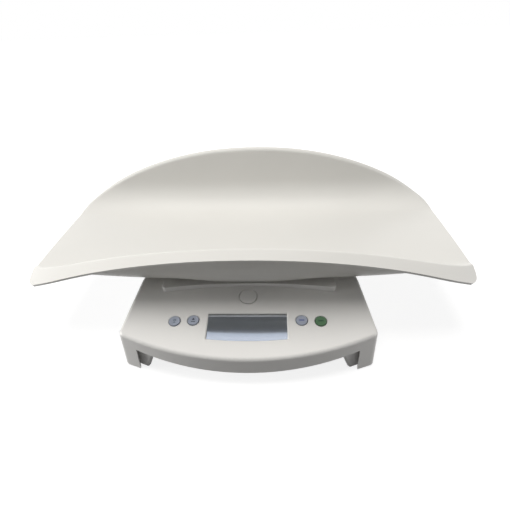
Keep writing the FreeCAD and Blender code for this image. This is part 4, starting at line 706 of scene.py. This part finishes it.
# ---- tray ---------------------------------------------------------------------------------------
class Curve:
    """Chain of straight runs and arcs in the tray's section."""

    def __init__(self, y, z, angle):
        self.y, self.z, self.angle = y, z, angle
        self.points = [(y, z)]

    def run(self, length, count, crowding=1.0):
        """Straight run; crowding above 1 moves its points towards its start."""
        for i in range(1, count + 1):
            step = length * (i / count) ** crowding
            self.points.append((self.y + step * math.cos(self.angle),
                                self.z + step * math.sin(self.angle)))
        self.y, self.z = self.points[-1]

    def turn(self, radius, degrees, count):
        """Left-hand turn for positive degrees."""
        side = 1.0 if degrees > 0 else -1.0
        y, z, start = self.y, self.z, self.angle
        for i in range(1, count + 1):
            angle = start + math.radians(degrees) * i / count
            self.points.append((y + side * radius * (math.sin(angle) - math.sin(start)),
                                z - side * radius * (math.cos(angle) - math.cos(start))))
        self.angle = start + math.radians(degrees)
        self.y, self.z = self.points[-1]


def front_wall(height, lip_slope):
    """Turn of the front arc and length of straight wall above it that bring the crest to height."""
    def rise(degrees):
        lean = math.radians(degrees)
        cutoff = CREST_R * math.tan((lean + math.radians(lip_slope)) / 2)
        return FRONT_ARC_R * (1 - math.cos(lean)) + (cutoff + FRONT_WALL_MIN) * math.sin(lean)

    spare = height - rise(FRONT_LEAN)
    if spare >= 0:
        return FRONT_LEAN, FRONT_WALL_MIN + spare / math.sin(math.radians(FRONT_LEAN))
    low, high = 0.0, FRONT_LEAN
    for _ in range(HALVINGS):
        middle = (low + high) / 2
        if rise(middle) < height:
            low = middle
        else:
            high = middle
    return low, FRONT_WALL_MIN


def bed_height(x):
    """Upper face of the bed: flat, then rising towards the ends."""
    share = max(0.0, (abs(x) - BED_FLAT_HALF) / (TRAY_HALF - BED_FLAT_HALF))
    return TRAY_BOTTOM + TRAY_T + BED_RISE * share * share


def back_wall(curve, x, bed):
    """Back arc and wall, in even steps, then the rolled rim."""
    lean = math.radians(BACK_LEAN)
    rim = RIM_Z - RIM_FALL * (abs(x) / 100) ** RIM_POWER - RIM_ROLL_R
    arc_top = bed + BACK_ARC_R * (1 - math.cos(lean))
    if rim > arc_top:
        turn = lean
        wall = (rim - arc_top) / math.sin(lean)
    else:
        turn = math.acos(1 - max(rim - bed, RIM_LEAST) / BACK_ARC_R)
        wall = 0.0
    total = BACK_ARC_R * turn + wall
    y0 = curve.y
    for i in range(1, BACK_STEPS + 1):
        done = total * i / BACK_STEPS
        angle = min(done / BACK_ARC_R, turn)
        straight = max(0.0, done - BACK_ARC_R * turn)
        curve.points.append((y0 + BACK_ARC_R * math.sin(angle) + straight * math.cos(angle),
                             bed + BACK_ARC_R * (1 - math.cos(angle)) + straight * math.sin(angle)))
    curve.y, curve.z = curve.points[-1]
    curve.angle = turn
    curve.turn(RIM_ROLL_R + TRAY_T, -min(math.degrees(turn), RIM_TURN), RIM_STEPS)


def tray_section(x):
    """Upper face of the tray at x, from the lip's edge over the crest, down and up to the rim."""
    s = abs(x) / TRAY_HALF
    lip = LIP_W[0] + (LIP_W[1] - LIP_W[0]) * s * s
    slope_degrees = LIP_SLOPE[0] + (LIP_SLOPE[1] - LIP_SLOPE[0]) * s * s
    slope = math.radians(slope_degrees)
    bed = bed_height(x)
    crest = CREST_Z - CREST_DROP * s ** CREST_POWER
    arc_y = FRONT_ARC_Y + x * x / (2 * FRONT_PLAN_R)
    turn_degrees, wall = front_wall(crest - bed, slope_degrees)
    turn = math.radians(turn_degrees)
    cutoff = CREST_R * math.tan((turn + slope) / 2)
    top_y = arc_y - FRONT_ARC_R * math.sin(turn) - (wall + cutoff) * math.cos(turn)
    top_z = bed + FRONT_ARC_R * (1 - math.cos(turn)) + (wall + cutoff) * math.sin(turn)
    curve = Curve(top_y - lip * math.cos(slope), top_z - lip * math.sin(slope), slope)
    curve.run(lip - cutoff, LIP_STEPS, LIP_CROWDING)
    curve.turn(CREST_R, -(turn_degrees + slope_degrees), CREST_STEPS)
    curve.run(wall, FRONT_STEPS)
    curve.turn(FRONT_ARC_R, turn_degrees, ARC_STEPS)
    lean = math.radians(BACK_LEAN)
    arc_top = TRAY_BOTTOM + TRAY_T + BACK_ARC_R * (1 - math.cos(lean))
    back_y = BACK_Y - (BACK_REF_Z - arc_top) / math.tan(lean) - BACK_ARC_R * math.sin(lean)
    curve.angle = 0.0
    curve.run(back_y - curve.y, BED_STEPS)
    back_wall(curve, x, bed)
    return curve.points


def rounding(inside, radius):
    """How far a rounded corner lies in from the end, at this distance from the side."""
    left = radius - min(inside, radius)
    return radius - math.sqrt(radius ** 2 - left ** 2)


def end_x(j, section):
    """Half length of the tray at station j, with bowed ends and rounded corners at lip and rim."""
    lip = rounding(math.dist(section[j], section[0]), LIP_CORNER)
    rim = rounding(math.dist(section[j], section[-1]), RIM_CORNER)
    bow = END_BOW * ((section[j][0] - END_BOW_Y) / END_BOW_L) ** 2
    return END_REACH - bow - lip - rim


def keel(x, normal):
    """How far the underside bulges over the platform, by how steeply the front arc stands there."""
    share = min(max((abs(x) - KEEL_HALF) / KEEL_BLEND, 0.0), 1.0)
    lean = math.degrees(math.atan2(-normal.y, -normal.z))
    rise = min(1.0, max(lean, 0.0) / KEEL_FADE, max(FRONT_LEAN - lean, 0.0) / KEEL_FADE)
    return KEEL_DROP * rise * (1 + math.cos(math.pi * share)) / 2


def make_tray(materials):
    """Thin shell drawn over the section at each station, thickened, with rounded edges."""
    end = tray_section(TRAY_HALF)
    clear_selection()
    bpy.ops.mesh.primitive_grid_add(x_subdivisions=TRAY_STATIONS - 1, y_subdivisions=len(end) - 1,
                                    size=1.0)
    tray = named("tray")
    crowd = STATION_CROWDING * math.pi / 2
    for vertex in tray.data.vertices:
        j = round((vertex.co.y + 0.5) * (len(end) - 1))
        share = math.sin(2 * vertex.co.x * crowd) / math.sin(crowd)
        x = share * end_x(j, end)
        y, z = tray_section(x)[j]
        vertex.co = Vector((x, y, z)) * MM
    finish_with(tray, "SUBSURF", levels=SHELL_SUBDIVISION, render_levels=SHELL_SUBDIVISION,
                boundary_smooth="PRESERVE_CORNERS")
    upper_count = len(tray.data.vertices)
    finish_with(tray, "SOLIDIFY", thickness=TRAY_T * MM, offset=-1.0, use_even_offset=True)
    lower = [vertex for vertex in tray.data.vertices[upper_count:]
             if vertex.normal.y < 0 and vertex.co.z < KEEL_TOP * MM]
    moves = [vertex.normal * keel(vertex.co.x / MM, vertex.normal) * MM for vertex in lower]
    for vertex, move in zip(lower, moves):
        vertex.co += move
    finish_with(tray, "BEVEL", width=RIM_EDGE * MM, segments=RIM_EDGE_STEPS, limit_method="ANGLE",
                angle_limit=math.radians(RIM_ANGLE))
    smooth(tray, SHELL_SMOOTH_ANGLE)
    paint(tray, materials["tray"])
    stand_in_for(tray, "tray", "tray", "tray_shell")


# ---- keys and their printed marks ----------------------------------------------------------------
KEY_NAMES = ("unit_key", "tare_key", "hold_key", "start_key")
KEY_RING_DEPTH = KEY_FLANGE_TOP + KEY_FLANGE_T / 2
INKS = {
    "unit_key": ("ink_grey", (0.06, 0.09, 0.11)),
    "tare_key": ("ink_dark", (0.03, 0.035, 0.05)),
    "hold_key": ("ink_blue", (0.03, 0.04, 0.22)),
    "start_key": ("ink_green", (0.01, 0.04, 0.02)),
}
LOW_BAR_V = -1.8 * MM           # lower mark on a key, from the key's middle
LOW_BAR_T = 0.9 * MM
BAR_CORNER = 0.45               # cut corner as a share of the bar's thickness
TRIANGLE_CORNER = 0.12          # and of the triangle's radius
RING_SIDES = 40


def key_body(name):
    """Round key: flange under the panel, straight skirt, rounded rim and a shallow dished face."""
    flange_low = -KEY_FLANGE_TOP - KEY_FLANGE_T
    head_r = KEY_R - HEAD_GAP
    rings = [(KEY_FLANGE_R, flange_low), (KEY_FLANGE_R, -KEY_FLANGE_TOP), (KEY_R, -KEY_FLANGE_TOP),
             (head_r, -HEAD_DEPTH)]
    rings += [(head_r - inset * MM, KEY_PROUD - drop * MM) for inset, drop in KEY_FACE]
    cap = turned(name + "_cap", rings, KEY_SIDES)
    stem = turned(name + "_stem", [(KEY_R, -KEY_DEPTH), (KEY_R, flange_low - STEM_GAP)], STEM_SIDES)
    return joined([cap, stem])


def mark_bar(name, v, half, thick):
    """Printed bar with cut corners, lying flat."""
    clear_selection()
    bpy.ops.mesh.primitive_plane_add(size=2.0, location=(0, v, 0))
    bar = named(name)
    bar.scale = (half, thick / 2, 1)
    settle(bar)
    edit(bar)
    bpy.ops.mesh.bevel(offset=thick * BAR_CORNER, segments=4, affect="VERTICES")
    leave_edit()
    return bar


def mark_triangle(name, v, radius):
    """Printed triangle with cut corners."""
    clear_selection()
    bpy.ops.mesh.primitive_circle_add(vertices=3, radius=radius, fill_type="NGON",
                                      location=(0, v, 0))
    mark = named(name)
    settle(mark)
    edit(mark)
    bpy.ops.mesh.bevel(offset=radius * TRIANGLE_CORNER, segments=3, affect="VERTICES")
    leave_edit()
    return mark


def mark_ring(name, v, radius, width):
    """Printed ring, of that width inwards from its radius."""
    clear_selection()
    bpy.ops.mesh.primitive_circle_add(vertices=RING_SIDES, radius=radius, fill_type="NOTHING",
                                      location=(0, v, 0))
    ring = named(name)
    settle(ring)
    edit(ring)
    bpy.ops.mesh.extrude_edges_move(TRANSFORM_OT_translate={"value": (0, 0, 0)})
    inner = (radius - width) / radius
    bpy.ops.transform.resize(value=(inner, inner, 1), center_override=(0, v, 0))
    leave_edit()
    return ring


def key_marks(name):
    """Plain printed signs: bars, a triangle and a ring, with no lettering."""
    if name == "unit_key":
        return [mark_ring(name + "_mark", 1.2 * MM, 1.5 * MM, 0.7 * MM),
                mark_bar(name + "_mark_low", LOW_BAR_V, 1.5 * MM, LOW_BAR_T)]
    if name == "tare_key":
        return [mark_triangle(name + "_mark", 1.5 * MM, 2.1 * MM),
                mark_bar(name + "_mark_low", LOW_BAR_V, 2.6 * MM, LOW_BAR_T)]
    return [mark_bar(name + "_mark", 0.2 * MM, 3.4 * MM, 1.2 * MM)]


def make_keys(materials):
    """Turned keys in their places, each with its printed mark."""
    for name in KEY_NAMES:
        x, v = panel_place(name, KEY_RING_DEPTH)
        slot = slot_of(name)
        body = key_body(name)
        smooth(body, KEY_SMOOTH_ANGLE)
        settle(body, panel(x, v))
        paint(body, materials[slot])
        stand_in_for(body, body_of(name), slot, name)
        mark = joined(key_marks(name))
        mark.name = name + "_print"
        edit(mark)
        bpy.ops.mesh.extrude_region_move(TRANSFORM_OT_translate={"value": (0, 0, INK_T)})
        face_outwards()
        leave_edit()
        settle(mark, panel(x, v, KEY_PROUD - INK_DEPTH))
        paint(mark, printed(*INKS[name]))
        stand_in_for(mark, body_of(name), slot)


# ---- studio -------------------------------------------------------------------------------------
def make_camera():
    """Camera at its distance from the target, turned by yaw, pitch and roll."""
    pitch, yaw, roll = (math.radians(a) for a in (CAMERA_PITCH, CAMERA_YAW, CAMERA_ROLL))
    forward = Vector((math.sin(yaw) * math.cos(pitch), math.cos(yaw) * math.cos(pitch),
                      -math.sin(pitch)))
    right = Vector((math.cos(yaw), -math.sin(yaw), 0))
    up = right.cross(forward)
    right, up = (math.cos(roll) * right + math.sin(roll) * up,
                 -math.sin(roll) * right + math.cos(roll) * up)
    place = Vector(CAMERA_TARGET) - forward * CAMERA_DISTANCE
    data = bpy.data.cameras.new("camera")
    data.lens = CAMERA_LENS
    data.sensor_width = CAMERA_SENSOR
    data.clip_start = CAMERA_NEAR
    camera = bpy.data.objects.new("camera", data)
    bpy.context.scene.collection.objects.link(camera)
    turn = Matrix((right, up, -forward)).transposed().to_4x4()
    camera.matrix_world = Matrix.Translation(place) @ turn
    bpy.context.scene.camera = camera


def area_lamp(name, place, aim, size, power, colour, mirrored):
    """Soft rectangular lamp; one that isn't mirrored doesn't show in gloss or through glass."""
    data = bpy.data.lights.new(name, "AREA")
    data.shape = "RECTANGLE"
    data.size, data.size_y = size
    data.energy = power
    data.color = colour
    lamp = bpy.data.objects.new(name, data)
    bpy.context.scene.collection.objects.link(lamp)
    lamp.location = place
    lamp.rotation_euler = (Vector(aim) - Vector(place)).to_track_quat("-Z", "Y").to_euler()
    lamp.visible_glossy = mirrored
    lamp.visible_transmission = mirrored


def seen_directly(tree):
    """1 for rays that the eye follows: straight, or by a mirror or through glass."""
    path = tree.nodes.new("ShaderNodeLightPath")
    either = maths(tree, "MAXIMUM", path.outputs["Is Camera Ray"], path.outputs["Is Glossy Ray"])
    return maths(tree, "MAXIMUM", either, path.outputs["Is Transmission Ray"])


def make_world():
    """White wherever it is seen, and dim as a light on the object."""
    world = bpy.data.worlds.new("studio")
    bpy.context.scene.world = world
    world.use_nodes = True
    tree = world.node_tree
    sky = mixed(tree, seen_directly(tree), shade(UNSEEN_SKY), (1, 1, 1, 1))
    tree.links.new(sky, tree.nodes["Background"].inputs["Color"])


def make_floor():
    """Pale paper: grey under the shadow, white from where the object ends to the horizon."""
    clear_selection()
    bpy.ops.mesh.primitive_plane_add(size=FLOOR_SIZE, location=(0, 0, 0))
    floor = named("floor")
    material, tree, shader, place = new_material("floor_paper")
    seen = seen_directly(tree)
    paper = mixed(tree, seen, shade((UNSEEN_FLOOR,) * 3), shade((SEEN_FLOOR,) * 3))
    tree.links.new(paper, shader.inputs["Base Color"])
    plain(shader, Roughness=0.9, Specular_IOR_Level=0.0, Emission_Color=(1, 1, 1, 1))
    away = put(tree, "ShaderNodeVectorMath", {0: place}, operation="LENGTH")
    near, far = FLOOR_RISE
    rise = put(tree, "ShaderNodeMapRange", {"Value": away.outputs["Value"]},
               interpolation_type="SMOOTHSTEP", From_Min=near, From_Max=far, To_Min=FLOOR_GLOW)
    glow = maths(tree, "MULTIPLY", seen, rise.outputs[0])
    tree.links.new(glow, shader.inputs["Emission Strength"])
    paint(floor, material)


def main():
    """Studio first, then finishes, then the pieces that stand in for construction nodes."""
    bpy.context.scene.view_settings.view_transform = "Standard"
    make_camera()
    make_world()
    for lamp in LAMPS:
        area_lamp(*lamp)
    make_floor()
    materials = make_materials()
    paint_construction(materials)
    make_tray(materials)
    for node in ("upper_housing", "lower_housing", "battery_cover", "tray_frame", "catch_post"):
        dressed(node, materials)
    slim_head(dressed("release_button", materials))
    dressed("display_window", materials, WINDOW_EDGE, 3)
    for corner in ("front_left", "front_right", "rear_left", "rear_right"):
        dressed("foot_" + corner, materials)
        dressed("foot_pad_" + corner, materials)
    make_keys(materials)


main()
